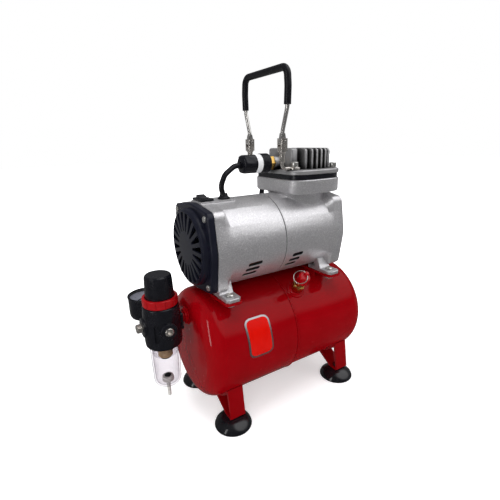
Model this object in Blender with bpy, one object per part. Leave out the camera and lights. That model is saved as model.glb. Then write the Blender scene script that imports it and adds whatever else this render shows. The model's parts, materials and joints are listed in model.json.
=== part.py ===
# Mini airbrush compressor: motor and piston pump on a 3 litre tank, with a filter
# regulator, gauge, safety valve and folding carrying handle.
# Units: the numbers below are millimetres, MM turns them into metres.
# Frame: origin on the ground below the middle of the outer box, +Z up,
# +X along the tank towards the crankcase end, regulator at -X, front side at -Y.
# "Left" is -X and "right" is +X. Sizes are laid out from the weld seam of the tank;
# SEAM_OFFSET moves them to the frame when a piece is finished.
import math

import bmesh
import bpy
from mathutils import Matrix, Vector

MM = 0.001
GAP = 0.3                         # clearance between neighbouring pieces
SEAM_OFFSET = (27.0, -1.82, 0.0)  # from the seam to the middle of the outer box
FINENESS = 0.33                   # scales the nominal segment counts
SIDES = (-1, 1)                   # front, rear

# ---- main sizes ---------------------------------------------------------------
TANK_R = 67.0                     # outer radius of the right half
TANK_LEFT_R = 68.4                # outer radius of the left half, which overlaps
TANK_Z = 94.0                     # height of the tank axis
TANK_X0, TANK_X1 = -116.0, 121.0
TANK_WALL = 1.7
TANK_SHOULDER = 20.0              # shoulder radius of the pressed ends
DRAIN_X = 30.0

LEG_XL, LEG_XR = -82.5, 90.5
LEG_WIDTH = 20.0
FOOT_INSET = 3.0                  # feet stand this far left of the leg centres
FOOT_Y = 51.0
FOOT_XL, FOOT_XR = LEG_XL - FOOT_INSET, LEG_XR - FOOT_INSET

MOTOR_R, MOTOR_Z = 51.0, 216.0    # casing radius and axis height
MOTOR_WALL = 3.5
MOTOR_BORE = MOTOR_R - MOTOR_WALL
MOTOR_X0, SEAM_X, MOTOR_X1 = -94.0, -5.0, 84.0
LUG_Y = 37.9                      # half spacing of the end screws, both ways
BEARING_SEAT_R = 11.3
BOLT_XL, BOLT_XR, BOLT_Y = -82.5, 65.0, 49.6
BOLT_HOLE_R = 3.4

CYL_X = 51.6                      # cylinder axis
HEAD_BOLT_XL, HEAD_BOLT_XR, HEAD_BOLT_Y = 21.0, 82.8, 30.2
THROW = 7.5                       # crank throw
PIN_Z = MOTOR_Z + THROW           # crank pin height
DECK_TOP = 285.0                  # top of the crankcase
HEAD_Z = 291.0                    # underside of the head
FLANGE_TOP = 296.0                # top of the head flange
HEAD_PORT_Z = 303.8               # side port of the head

HINGE_Y, HINGE_Z = 34.0, 328.0    # hinge line of the carrying handle
REG_X, REG_Y = -146.0, -3.0       # regulator axis
PORT_Z = 133.0                    # regulator ports and tank nipple
GAUGE_X, GAUGE_Y = -147.5, 54.0
ROCKER_X, ROCKER_Y, ROCKER_Z = -84.2, 2.0, 268.4
VALVE_LEAN = math.radians(37.0)   # lean of the safety valve from vertical
VALVE_X = 17.0

for old_object in list(bpy.data.objects):
    bpy.data.objects.remove(old_object, do_unlink=True)


# ---- fineness -------------------------------------------------------------------
def segments(count):
    """Segments round a full turn at the chosen fineness."""
    return max(8, 4 * int(round(count * FINENESS / 4.0)))


def segments8(count):
    """The same in multiples of eight, so that the 45 degree corners are kept."""
    return max(24, 8 * int(round(count * FINENESS / 8.0)))


def steps(count):
    """Steps along an arc at the chosen fineness."""
    return max(2, int(round(count * (FINENESS + 0.1))))


# ---- materials ------------------------------------------------------------------
# name: base colour, roughness, metallic, alpha
PALETTE = {
    "red": ((0.50, 0.008, 0.015), 0.22, 0.0, 1.0),
    "silver": ((0.56, 0.56, 0.58), 0.38, 0.8, 1.0),
    "cast": ((0.30, 0.30, 0.31), 0.55, 0.7, 1.0),
    "black": ((0.012, 0.012, 0.016), 0.42, 0.0, 1.0),
    "gloss": ((0.010, 0.010, 0.013), 0.16, 0.0, 1.0),
    "rubber": ((0.014, 0.014, 0.016), 0.45, 0.0, 1.0),
    "steel": ((0.55, 0.54, 0.53), 0.28, 1.0, 1.0),
    "zinc": ((0.42, 0.40, 0.38), 0.35, 1.0, 1.0),
    "brass": ((0.62, 0.40, 0.12), 0.28, 1.0, 1.0),
    "lamination": ((0.22, 0.22, 0.24), 0.5, 0.9, 1.0),
    "copper": ((0.60, 0.27, 0.12), 0.35, 0.9, 1.0),
    "ringred": ((0.65, 0.010, 0.012), 0.3, 0.0, 1.0),
    "clear": ((0.85, 0.87, 0.88), 0.08, 0.0, 0.35),
    "tan": ((0.50, 0.35, 0.20), 0.8, 0.0, 1.0),
    "ptfe": ((0.70, 0.68, 0.62), 0.5, 0.0, 1.0),
}


def make_material(name, colour):
    rgb, roughness, metallic, alpha = PALETTE[colour]
    material = bpy.data.materials.new(name)
    material.use_nodes = True
    inputs = material.node_tree.nodes["Principled BSDF"].inputs
    inputs["Base Color"].default_value = (*rgb, 1.0)
    inputs["Roughness"].default_value = roughness
    inputs["Metallic"].default_value = metallic
    inputs["Alpha"].default_value = alpha
    material.diffuse_color = (*rgb, 1.0)
    material.roughness = roughness
    material.metallic = metallic
    return material


# ---- axis lines: (direction, point that lengths are measured from) ---------------
def along_x(y, z, x=0.0):
    return (1, 0, 0), (x, y, z)


def along_y(x, z, y=0.0):
    return (0, 1, 0), (x, y, z)


def along_z(x, y):
    return (0, 0, 1), (x, y, 0)


TANK_AXIS = along_x(0, TANK_Z)
MOTOR_AXIS = along_x(0, MOTOR_Z)
CYL_AXIS = along_z(CYL_X, 0)
HEAD_PORT_AXIS = along_x(0, HEAD_PORT_Z)
REG_AXIS = along_z(REG_X, REG_Y)
PORT_AXIS = along_x(0, PORT_Z)
CROSS_PORT_AXIS = along_y(REG_X, PORT_Z, REG_Y)
GAUGE_AXIS = along_z(GAUGE_X, GAUGE_Y)
DRAIN_AXIS = along_z(DRAIN_X, 0)
VALVE_DIR = Vector((0, -math.sin(VALVE_LEAN), math.cos(VALVE_LEAN)))
VALVE_FOOT = Vector((VALVE_X, 0, TANK_Z))
VALVE_AXIS = (VALVE_DIR, VALVE_FOOT)
VALVE_ACROSS = Vector((0, -math.cos(VALVE_LEAN), -math.sin(VALVE_LEAN)))


# ---- outlines: lists of 2D points -------------------------------------------------
def circle(radius, count):
    turn = 2 * math.pi
    return [(radius * math.cos(turn * k / count), radius * math.sin(turn * k / count))
            for k in range(count)]


def arc(cx, cy, radius, start, end, count):
    """Points from start to end degrees, both included."""
    count = steps(count)
    angles = [math.radians(start + (end - start) * k / count) for k in range(count + 1)]
    return [(cx + radius * math.cos(a), cy + radius * math.sin(a)) for a in angles]


def rounded_rect(x0, x1, y0, y1, radius, count):
    corners = ((x1 - radius, y1 - radius, 0), (x0 + radius, y1 - radius, 90),
               (x0 + radius, y0 + radius, 180), (x1 - radius, y0 + radius, 270))
    return [p for cx, cy, start in corners
            for p in arc(cx, cy, radius, start, start + 90.0, count)]


def centred_rect(half_x, half_y):
    return [(-half_x, -half_y), (half_x, -half_y), (half_x, half_y), (-half_x, half_y)]


def rotated(outline, angle):
    c, s = math.cos(angle), math.sin(angle)
    return [(x * c - y * s, x * s + y * c) for x, y in outline]


def scaled(outline, factor):
    return [(x * factor, y * factor) for x, y in outline]


def shifted(profile, offset):
    """Profile of (radius, height) moved along its axis."""
    return [(r, h + offset) for r, h in profile]


def convex_hull(points):
    points = sorted(set((round(x, 6), round(y, 6)) for x, y in points))

    def chain(sequence):
        hull = []
        for p in sequence:
            while len(hull) >= 2:
                (ax, ay), (bx, by) = hull[-2:]
                if (bx - ax) * (p[1] - ay) - (by - ay) * (p[0] - ax) > 1e-9:
                    break
                hull.pop()
            hull.append(p)
        return hull
    return chain(points)[:-1] + chain(points[::-1])[:-1]


def at_even_angles(outline, count):
    """The same outline at even angles (star shaped about the origin)."""
    result = []
    for dx, dy in circle(1.0, count):
        reach = []
        for (px, py), (qx, qy) in zip(outline, outline[1:] + outline[:1]):
            ex, ey = qx - px, qy - py
            det = dy * ex - dx * ey
            if abs(det) < 1e-12:
                continue
            distance = (py * ex - px * ey) / det
            along = (dx * py - dy * px) / det
            if distance > 0 and -1e-6 <= along <= 1 + 1e-6:
                reach.append(distance)
        result.append((max(reach) * dx, max(reach) * dy))
    return result


# ---- outlines placed in space -----------------------------------------------------
def section_x(outline, x, z0=0.0):
    """Outline of (y, z) at a station x, heights counted from z0."""
    return [(x, p, z0 + q) for p, q in outline]


def section_z(outline, z):
    return [(p, q, z) for p, q in outline]


def motor_section(outline, x):
    return section_x(outline, x, MOTOR_Z)


def placed(outline, centre, u, v):
    """Outline laid along the directions u and v."""
    return [centre + u * p + v * q for p, q in outline]


def ring(line, radius, height, count):
    """Circle square to an axis line, a given way along it."""
    w = Vector(line[0]).normalized()
    u = Vector((0, 1, 0)) if abs(w.x) > 0.9 else Vector((1, 0, 0))
    v = w.cross(u).normalized()
    u = v.cross(w).normalized()
    centre = Vector(line[1])
    return [centre + u * p + v * q + w * height for p, q in circle(radius, count)]


# ---- solids -----------------------------------------------------------------------
def solid(verts, faces):
    """Helper object with its normals pointing out."""
    mesh = bpy.data.meshes.new("tmp")
    mesh.from_pydata([tuple(v) for v in verts], [], faces)
    bm = bmesh.new()
    bm.from_mesh(mesh)
    bmesh.ops.recalc_face_normals(bm, faces=bm.faces)
    if bm.calc_volume(signed=True) < 0:
        bmesh.ops.reverse_faces(bm, faces=bm.faces)
    bm.to_mesh(mesh)
    bm.free()
    body = bpy.data.objects.new("tmp", mesh)
    bpy.context.scene.collection.objects.link(body)
    return body


def loft(rings, closed=False):
    """Skin over rings of equal length, capped at both ends unless closed."""
    n, count = len(rings[0]), len(rings)
    verts = [p for points in rings for p in points]
    faces = []
    for i in range(count if closed else count - 1):
        j = (i + 1) % count
        for k in range(n):
            m = (k + 1) % n
            faces.append((i * n + k, i * n + m, j * n + m, j * n + k))
    if not closed:
        faces.append(tuple(range(n)))
        faces.append(tuple(range((count - 1) * n, count * n)))
    return solid(verts, faces)


def revolve(profile, count, line):
    """Solid of revolution. profile = closed list of (radius, height along the line)."""
    n = segments(count)
    verts, rows = [], []
    for radius, height in profile:
        points = ring(line, radius, height, 1 if radius < 1e-9 else n)
        rows.append(range(len(verts), len(verts) + len(points)))
        verts += points
    faces = []
    for a, b in zip(rows, rows[1:] + rows[:1]):
        if len(a) == 1 and len(b) == 1:
            continue
        for k in range(n):
            m = (k + 1) % n
            if len(a) == 1:
                faces.append((a[0], b[k], b[m]))
            elif len(b) == 1:
                faces.append((a[k], b[0], a[m]))
            else:
                faces.append((a[k], b[k], b[m], a[m]))
    return solid(verts, faces)


def column(radius, start, end, n, line, chamfer):
    """Column with exactly n sides and optional edge chamfers."""
    profile = [(radius, start), (radius, end)]
    if chamfer > 0:
        profile = [(radius - chamfer, start), (radius, start + chamfer),
                   (radius, end - chamfer), (radius - chamfer, end)]
    return loft([ring(line, r, height, n) for r, height in profile])


def cylinder(radius, start, end, count, line, chamfer=0.0):
    return column(radius, start, end, segments(count), line, chamfer)


def hexagon(across_flats, start, end, line, chamfer):
    return column(across_flats / 2 / math.cos(math.pi / 6), start, end, 6, line, chamfer)


def prism_x(outline, x0, x1):
    return loft([section_x(outline, x) for x in (x0, x1)])


def prism_z(outline, z0, z1):
    return loft([section_z(outline, z) for z in (z0, z1)])


def box(x0, x1, y0, y1, z0, z1):
    return prism_z([(x0, y0), (x1, y0), (x1, y1), (x0, y1)], z0, z1)


def rounded_path(points, radii, count):
    """Polyline with its inner corners rounded, one radius for each."""
    count = steps(count)
    points = [Vector(p) for p in points]
    path = [points[0]]
    for before, corner, after, radius in zip(points, points[1:], points[2:], radii):
        d1, d2 = (before - corner).normalized(), (after - corner).normalized()
        half = d1.angle(d2) / 2
        trim = min(radius / math.tan(half), (before - corner).length * 0.49,
                   (after - corner).length * 0.49)
        fitted = trim * math.tan(half)
        centre = corner + (d1 + d2).normalized() * (fitted / math.sin(half))
        v0, v1 = corner + d1 * trim - centre, corner + d2 * trim - centre
        sweep, axis = v0.angle(v1), v0.cross(v1).normalized()
        for k in range(count + 1):
            path.append(centre + Matrix.Rotation(sweep * k / count, 3, axis) @ v0)
    path.append(points[-1])
    return path


def path_rings(path, radius, n):
    """Circles square to a path, without twist from one to the next."""
    rings = []
    u = None
    for i, p in enumerate(path):
        before, after = path[max(i - 1, 0)], path[min(i + 1, len(path) - 1)]
        if 0 < i < len(path) - 1:
            tangent = ((p - before).normalized() + (after - p).normalized()).normalized()
        else:
            tangent = (after - before).normalized()
        if u is None:
            side = Vector((0, 0, 1)) if abs(tangent.z) < 0.9 else Vector((1, 0, 0))
            u = tangent.cross(side).normalized()
        else:
            u = (u - tangent * u.dot(tangent)).normalized()
        rings.append(placed(circle(radius, n), p, u, tangent.cross(u)))
    return rings


def rod(path, radius, count):
    """Round rod along a path."""
    return loft(path_rings(path, radius, segments(count)))


def sleeve(path, outer_r, inner_r, count):
    """Open tube with a wall along a path."""
    n = segments(count)
    rings = path_rings(path, outer_r, n) + path_rings(path, inner_r, n)[::-1]
    return loft(rings, closed=True)


# ---- combining and finishing --------------------------------------------------------
def discard(body):
    mesh = body.data
    bpy.data.objects.remove(body, do_unlink=True)
    bpy.data.meshes.remove(mesh)


def joined(bodies):
    """Several separate solids in one helper mesh (used only as a cutter)."""
    verts, faces = [], []
    for body in bodies:
        base = len(verts)
        verts += [v.co.copy() for v in body.data.vertices]
        faces += [tuple(base + i for i in p.vertices) for p in body.data.polygons]
        discard(body)
    return solid(verts, faces)


def boolean(body, tool, operation):
    modifier = body.modifiers.new("b", "BOOLEAN")
    modifier.operation = operation
    modifier.solver = "EXACT"
    modifier.object = tool
    depsgraph = bpy.context.evaluated_depsgraph_get()
    mesh = bpy.data.meshes.new_from_object(body.evaluated_get(depsgraph))
    body.modifiers.remove(modifier)
    old_mesh = body.data
    body.data = mesh
    bpy.data.meshes.remove(old_mesh)
    discard(tool)

    # merge the near-duplicate points a boolean leaves behind
    bm = bmesh.new()
    bm.from_mesh(mesh)
    bmesh.ops.remove_doubles(bm, verts=bm.verts, dist=1e-4)
    bmesh.ops.dissolve_degenerate(bm, edges=bm.edges, dist=1e-4)
    bm.to_mesh(mesh)
    bm.free()


def cut(body, *tools):
    for tool in tools:
        boolean(body, tool, "DIFFERENCE")


def add(body, *tools):
    for tool in tools:
        boolean(body, tool, "UNION")


def finish(body, name, colour, origin, sharp_angle=35.0):
    """Millimetres to metres, origin on the joint axis, own material, shading."""
    origin = Vector(origin)
    mesh = body.data
    for v in mesh.vertices:
        v.co = (v.co - origin) * MM
    mesh.update()
    mesh.name = name
    body.name = name
    body.location = (origin + Vector(SEAM_OFFSET)) * MM
    mesh.materials.clear()
    mesh.materials.append(make_material(name + "_mat", colour))
    for polygon in mesh.polygons:
        polygon.material_index = 0
        polygon.use_smooth = True
    mesh.set_sharp_from_angle(angle=math.radians(sharp_angle))


def corners(x_left, x_right):
    """Name, x and side of the four corners of a bolt or foot pattern."""
    return [(f"{depth}_{end}", x, side) for depth, side in (("front", -1), ("rear", 1))
            for end, x in (("left", x_left), ("right", x_right))]


# ==== tank ===========================================================================
def tank_cup(x_end, direction, profile):
    """Pressed half; profile = (radius, distance from the closed end)."""
    return revolve([(r, x_end + direction * d) for r, d in profile], 80, TANK_AXIS)


def outer_shoulder(radius):
    return arc(radius - TANK_SHOULDER, TANK_SHOULDER, TANK_SHOULDER, -90, 0, 10)


def inner_shoulder(radius):
    bend = TANK_SHOULDER - TANK_WALL
    return arc(radius - TANK_SHOULDER, TANK_SHOULDER, bend, 0, -90, 10)


def tank_left():
    length = -TANK_X0
    profile = [(0.0, 0.0)] + outer_shoulder(TANK_LEFT_R)
    profile += [(TANK_LEFT_R, length - 0.6), (TANK_LEFT_R - 0.6, length),
                (TANK_LEFT_R - TANK_WALL, length)]
    profile += inner_shoulder(TANK_LEFT_R) + [(0.0, TANK_WALL)]
    body = tank_cup(TANK_X0, 1, profile)
    cut(body, cylinder(7.3, -120, -110, 32, PORT_AXIS))
    finish(body, "tank_left", "red", (0, 0, TANK_Z))


def tank_right():
    """Right half with a lip that slides into the left one, and two bosses."""
    lip_r = TANK_LEFT_R - TANK_WALL - GAP
    length = TANK_X1 + 8.0
    profile = [(0.0, 0.0)] + outer_shoulder(TANK_R)
    profile += [(TANK_R, TANK_X1 - 2.6), (lip_r, TANK_X1 - 0.4), (lip_r, length),
                (lip_r - TANK_WALL, length), (lip_r - TANK_WALL, TANK_X1 - 1.0),
                (TANK_R - TANK_WALL, TANK_X1 - 3.0)]
    profile += inner_shoulder(TANK_R) + [(0.0, TANK_WALL)]
    body = tank_cup(TANK_X1, -1, profile)
    valve_boss = [(0, 64.5), (11.5, 64.5), (11.5, 67.6), (10.8, 68.3),
                  (9.2, 68.3), (8.6, 69.8), (7.9, 70.4), (0, 70.4)]
    drain_boss = [(0, 24.0), (0, 30.0), (8.0, 30.0), (8.0, 24.6), (7.4, 24.0)]
    add(body, revolve(valve_boss, 32, VALVE_AXIS), revolve(drain_boss, 24, DRAIN_AXIS))
    cut(body, cylinder(5.6, 55, 75, 36, VALVE_AXIS), cylinder(4.4, 20, 35, 24, DRAIN_AXIS))
    finish(body, "tank_right", "red", (0, 0, TANK_Z))


def tank_nipple():
    """Welded into the left end, the regulator hangs on it."""
    profile = [(4.0, -123.2), (4.0, -112.5), (7.0, -112.5), (7.0, -116.3), (9.6, -116.3),
               (9.6, -119.4), (8.8, -120.2), (6.6, -120.2), (6.6, -123.2)]
    finish(revolve(profile, 32, PORT_AXIS), "tank_nipple", "red", (TANK_X0, 0, PORT_Z))


def drain_screw():
    """Screw under the tank with a finger bar."""
    profile = [(0, 16.0), (5.6, 16.0), (6.2, 16.6), (6.2, 20.4), (5.6, 21.0),
               (4.0, 21.0), (4.0, 29.0), (3.2, 30.0), (0, 30.0)]
    body = revolve(profile, 24, DRAIN_AXIS)
    bar = rounded_rect(DRAIN_X - 1.5, DRAIN_X + 1.5, -7.5, 7.5, 1.4, 4)
    add(body, prism_z(bar, 11.5, 17.0))
    finish(body, "drain_screw", "brass", (DRAIN_X, 0, 20))


# ==== legs, feet and saddles =============================================================
LEG_PLATE = 2.5                   # thickness of the leg bracket
LEG_BASE_Z = 12.0
LEG_TOP_Y = 53.5                  # half span of the edge along the tank
LEG_CENTRE_Y = 19.0               # half span of the single plate in the middle


def seat_radius(x):
    """Radius of a seat that clears the tank half it lies on."""
    return (TANK_LEFT_R if x < 0 else TANK_R) + GAP


def leg_bracket(name, x, foot_x):
    """Bent plate below the tank with an opening over each foot."""
    seat = seat_radius(x)

    def underside(y0, y1, count):
        """Lower face of the plate that follows the tank, at even steps of y."""
        ys = [y0 + (y1 - y0) * k / count for k in range(count + 1)]
        return [(y, TANK_Z - math.sqrt((seat + LEG_PLATE) ** 2 - y * y)) for y in ys]

    reach = math.degrees(math.asin(LEG_TOP_Y / seat))
    top = arc(0, TANK_Z, seat, -90 - reach, -90 + reach, 28)
    base = [(59.0, LEG_BASE_Z + 1.2), (57.8, LEG_BASE_Z), (44.6, LEG_BASE_Z)]
    outline = top + base + underside(LEG_CENTRE_Y, -LEG_CENTRE_Y, 2 * steps(5))
    outline += [(-y, z) for y, z in reversed(base)]
    body = prism_x(outline, x - LEG_WIDTH / 2, x + LEG_WIDTH / 2)
    floor_z = LEG_BASE_Z + LEG_PLATE
    opening = underside(23.5, 51.0, steps(10))
    opening += [(56.3, floor_z + 1.0), (55.9, floor_z), (45.9, floor_z)]
    for side in SIDES:
        cut(body, prism_x([(side * y, z) for y, z in opening], x - 15, x + 15))
    for side in SIDES:
        cut(body, cylinder(BOLT_HOLE_R, 8, 17, 20, along_z(foot_x, side * FOOT_Y)))
    finish(body, name, "red", (x, 0, 30))


# (radius, height) of a foot with its snap-in stud
FOOT_PROFILE = [
    (0, 4.5), (9.5, 3.4), (18.0, 0.0), (22.4, 0.0), (22.8, 0.8), (21.6, 4.0), (18.4, 7.2),
    (13.6, 10.2), (8.6, 11.7), (3.0, 11.7), (3.0, 14.8), (4.3, 14.8), (4.3, 17.2),
    (3.4, 18.2), (0, 18.2)]


def feet():
    for corner, x, side in corners(FOOT_XL, FOOT_XR):
        body = revolve(FOOT_PROFILE, 40, along_z(x, side * FOOT_Y))
        finish(body, "foot_" + corner, "gloss", (x, side * FOOT_Y, 0), 50)


def saddle(name, x):
    """Flat plate lying on the crown of the tank, stiffened by two short webs."""
    plate_z0, plate_z1 = 161.6, 164.0
    body = box(x - 8.0, x + 8.0, -30.0, 30.0, 150.0, plate_z0 + 0.6)
    cut(body, box(x - 6.2, x + 6.2, -40, 40, 140, plate_z0))
    plate = rounded_rect(x - 10.6, x + 10.6, -61.9, 61.9, 4.5, 5)
    add(body, prism_z(plate, plate_z0, plate_z1))
    cut(body, cylinder(seat_radius(x), x - 20, x + 20, 80, TANK_AXIS))
    for side in SIDES:
        cut(body, cylinder(BOLT_HOLE_R, 158, 168, 20, along_z(x, side * BOLT_Y)))
    finish(body, name, "red", (x, 0, 160))


# ==== motor casing =======================================================================
CASING_POINTS = segments8(80)
CASING_ROUND = circle(MOTOR_R, CASING_POINTS)
SEAM_EDGE = scaled(CASING_ROUND, 0.985)     # bevelled edge at the seam
LOUVRE_ANGLES = (21.0, 29.5, 38.0)          # degrees below the horizontal
LOUVRE_HEIGHT = 5.0
LOUVRE_LEAN = math.radians(3.0)


def end_outline(radius, lug_r):
    """Circle with four screw lugs, straight sides between them."""
    points = circle(radius, 96)
    for side_y in SIDES:
        for side_z in SIDES:
            points += [(side_y * LUG_Y + y, side_z * LUG_Y + z) for y, z in circle(lug_r, 24)]
    return at_even_angles(convex_hull(points), CASING_POINTS)


CASING_END = end_outline(MOTOR_R, 7.6)


def motor_cylinder(radius, x0, x1, count):
    return cylinder(radius, x0, x1, count, MOTOR_AXIS)


def casing_foot(x, side):
    """Cast leg and bolt pad under the casing."""
    pad = [(x - 9.0, 20.0), (x + 9.0, 20.0), (x + 9.0, 57.4),
           (x + 5.8, 60.6), (x - 5.8, 60.6), (x - 9.0, 57.4)]
    leg = [(43.2, 167.6), (42.4, 169.4), (36.6, 183.0), (36.0, 192.0), (26.0, 192.0),
           (26.0, 178.0), (24.0, 171.0), (20.6, 169.8), (20.6, 165.0), (42.0, 165.0)]
    body = prism_z([(px, side * py) for px, py in pad], 164.3, 168.4)
    add(body, prism_x([(side * y, z) for y, z in leg], x - 8.8, x + 8.8))
    return body


def louvre(x, angle, side, length):
    """Cutter for a slanted vent slot through the casing side."""
    a = math.radians(angle)
    out = Vector((0, side * math.cos(a), -math.sin(a)))
    up = Vector((0, side * math.sin(a), math.cos(a)))
    lean_cos, lean_sin = math.cos(LOUVRE_LEAN), math.sin(LOUVRE_LEAN)
    u = Vector((lean_cos, 0, 0)) + up * lean_sin
    v = up * lean_cos - Vector((1, 0, 0)) * lean_sin
    half = LOUVRE_HEIGHT / 2
    slot = rounded_rect(-length / 2, length / 2, -half, half, half - 0.05, 3)
    centre = Vector((x, 0, MOTOR_Z))
    return loft([placed(slot, centre + out * reach, u, v) for reach in (40.0, 60.0)])


def louvres(x, step, length):
    """Slots on both sides, each row shifted left from the one above."""
    return joined([louvre(x - step * i, angle, side, length)
                   for side in SIDES for i, angle in enumerate(LOUVRE_ANGLES)])


def wall_windows():
    """Cutter for six air windows in the bearing wall."""
    windows = []
    for k in range(6):
        a0, a1 = 60.0 * k + 8, 60.0 * k + 52
        outline = arc(0, 0, 42.0, a0, a1, 6) + arc(0, 0, 18.0, a1 - 5, a0 + 5, 4)
        windows.append(loft([motor_section(outline, x) for x in (-90, -76)]))
    return joined(windows)


def motor_housing():
    """Left casing half with lugs, a flat for the rocker switch, and feet."""
    body = loft([motor_section(CASING_END, MOTOR_X0), motor_section(CASING_END, -82.0),
                 motor_section(CASING_ROUND, -75.0),
                 motor_section(CASING_ROUND, SEAM_X - 0.9),
                 motor_section(SEAM_EDGE, SEAM_X - GAP / 2)])
    add(body, casing_foot(BOLT_XL, -1), casing_foot(BOLT_XL, 1),
        box(-93.6, -51.0, -13.6, 13.6, 255.0, 267.0))
    cut(body, motor_cylinder(MOTOR_BORE, -100, -86, 64),
        motor_cylinder(MOTOR_BORE, -80, 0, 64),
        motor_cylinder(BEARING_SEAT_R, -90, -75, 32))
    cut(body, wall_windows())
    for side in SIDES:
        cut(body, cylinder(BOLT_HOLE_R, 160, 175, 20, along_z(BOLT_XL, side * BOLT_Y)))
    cut(body, box(ROCKER_X - 6.5, ROCKER_X + 6.5, ROCKER_Y - 10.0, ROCKER_Y + 10.0, 257, 275))
    cut(body, louvres(-46.5, 2.3, 19.0))
    finish(body, "motor_housing", "silver", (0, 0, MOTOR_Z), 30)


# head joint: a square with swelling sides, cut flat on its left
DECK_X, DECK_HALF_X, DECK_HALF_Y = 48.6, 40.6, 48.4
DECK_LEFT = 10.6
DECK_POWER = 4.0
DECK_POINTS = segments8(88)
NECK_R = 35.6
NECK_SHIFT = 0.8                  # neck centre lies this far left of the deck centre


def deck_ring(inset, z):
    points = []
    for c, s in circle(1.0, DECK_POINTS):
        r = (abs(c / (DECK_HALF_X - inset)) ** DECK_POWER
             + abs(s / (DECK_HALF_Y - inset)) ** DECK_POWER) ** (-1.0 / DECK_POWER)
        points.append((max(DECK_X + r * c, DECK_LEFT + inset), r * s, z))
    return points


def neck_ring(radius, z):
    return [(DECK_X + x - NECK_SHIFT, y, z) for x, y in circle(radius, DECK_POINTS)]


def crankcase():
    """Right casing half with the cylinder neck and deck."""
    body = loft([motor_section(SEAM_EDGE, SEAM_X + GAP / 2),
                 motor_section(CASING_ROUND, SEAM_X + 0.9), motor_section(CASING_ROUND, 66.0),
                 motor_section(CASING_END, 72.0), motor_section(CASING_END, MOTOR_X1)])
    # (inset, height) of the deck above the neck
    deck = [(3.4, 268.0), (1.2, 268.5), (0.35, 269.4), (0.0, 270.8),
            (0.0, DECK_TOP - 0.8), (0.8, DECK_TOP)]
    neck = loft([neck_ring(NECK_R, 230.0), neck_ring(NECK_R, 264.8),
                 neck_ring(NECK_R + 0.9, 267.2)] + [deck_ring(inset, z) for inset, z in deck])
    add(body, neck, casing_foot(BOLT_XR, -1), casing_foot(BOLT_XR, 1))
    cut(body, motor_cylinder(MOTOR_BORE, -10, 18, 64), motor_cylinder(46.0, 26, 90, 64),
        motor_cylinder(BEARING_SEAT_R, 10, 30, 32), cylinder(24.3, 220, 290, 64, CYL_AXIS))
    for side in SIDES:
        cut(body, cylinder(BOLT_HOLE_R, 160, 175, 20, along_z(BOLT_XR, side * BOLT_Y)))
        for x in (HEAD_BOLT_XL, HEAD_BOLT_XR):
            cut(body, cylinder(3.3, 274, 290, 16, along_z(x, side * HEAD_BOLT_Y)))
    cut(body, louvres(14.5, 3.0, 16.5))
    finish(body, "crankcase", "silver", (0, 0, MOTOR_Z), 30)


def add_lug_screws(body, radius, x0, x1):
    for side_y in SIDES:
        for side_z in SIDES:
            line = along_x(side_y * LUG_Y, MOTOR_Z + side_z * LUG_Y)
            add(body, cylinder(radius, x0, x1, 16, line, 0.8))


def end_cover():
    """Lugged plate with a raised disc, on the crankcase end."""
    outline = end_outline(MOTOR_R - 0.4, 7.2)
    body = loft([motor_section(outline, MOTOR_X1 + GAP), motor_section(outline, 87.2),
                 motor_section(scaled(outline, 0.97), 88.2)])
    disc = [(0, 86.0), (36.0, 86.0), (36.0, 89.6), (34.4, 91.0), (0, 91.0)]
    add(body, revolve(disc, 48, MOTOR_AXIS))
    add_lug_screws(body, 3.6, 86.0, 90.4)
    finish(body, "end_cover", "silver", (86, 0, MOTOR_Z), 30)


def fan_cover():
    """Lugged plate with a round dome and radial slots."""
    outline = end_outline(MOTOR_R - 1.2, 7.2)
    body = loft([motor_section(outline, MOTOR_X0 - GAP), motor_section(outline, -100.6),
                 motor_section(scaled(outline, 0.975), -101.8)])
    dome = [(0, -110.0), (17.0, -110.0), (36.0, -109.4), (40.8, -109.0),
            (43.4, -107.4), (44.4, -105.0), (44.6, -99.0), (0, -99.0)]
    hollow = [(0, -107.2), (38.5, -106.9), (41.2, -105.6), (41.8, -103.0),
              (41.8, -90.0), (0, -90.0)]
    add(body, revolve(dome, 72, MOTOR_AXIS))
    add_lug_screws(body, 3.7, -103.9, -100.0)
    cut(body, revolve(hollow, 64, MOTOR_AXIS))
    slot = [(19.3, -1.0), (40.1, -3.6), (40.1, 3.6), (19.3, 1.0)]   # (radius, half width)
    slot_count = 20
    slots = []
    for k in range(slot_count):
        turned_slot = rotated(slot, 2 * math.pi * (k + 0.5) / slot_count)
        slots.append(loft([motor_section(turned_slot, x) for x in (-114.0, -104.0)]))
    cut(body, joined(slots))
    finish(body, "fan_cover", "black", (-98, 0, MOTOR_Z), 30)


# ==== electric motor inside ================================================================
# profiles are (radius, x) round the motor axis
STATOR_PROFILE = [
    (27.0, -55.0), (27.0, -13.0), (31.0, -13.0), (31.0, -7.0), (40.0, -7.0), (41.5, -9.0),
    (41.5, -13.0), (47.2, -13.0), (47.2, -55.0), (41.5, -55.0), (41.5, -60.0),
    (40.0, -62.0), (31.0, -62.0), (31.0, -55.0)]
ROTOR_PROFILE = [
    (0, -99.0), (3.6, -99.0), (4.0, -98.4), (4.0, -64.0), (7.0, -64.0), (7.0, -57.0),
    (26.4, -57.0), (26.4, -11.0), (7.0, -11.0), (7.0, 10.0), (4.0, 10.0), (4.0, 37.4),
    (3.6, 38.0), (0, 38.0)]
SHAFT_BORE = 4.0 + GAP
# x counted from the left face
BEARING_PROFILE = [
    (SHAFT_BORE, 0), (SHAFT_BORE, 6.8), (6.6, 6.8), (6.9, 6.0), (8.8, 6.0), (9.1, 6.8),
    (10.6, 6.8), (11.0, 6.4), (11.0, 0.4), (10.6, 0), (9.1, 0), (8.8, 0.8), (6.9, 0.8),
    (6.6, 0)]


def stator():
    finish(revolve(STATOR_PROFILE, 64, MOTOR_AXIS), "stator", "copper", (0, 0, MOTOR_Z))


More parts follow.
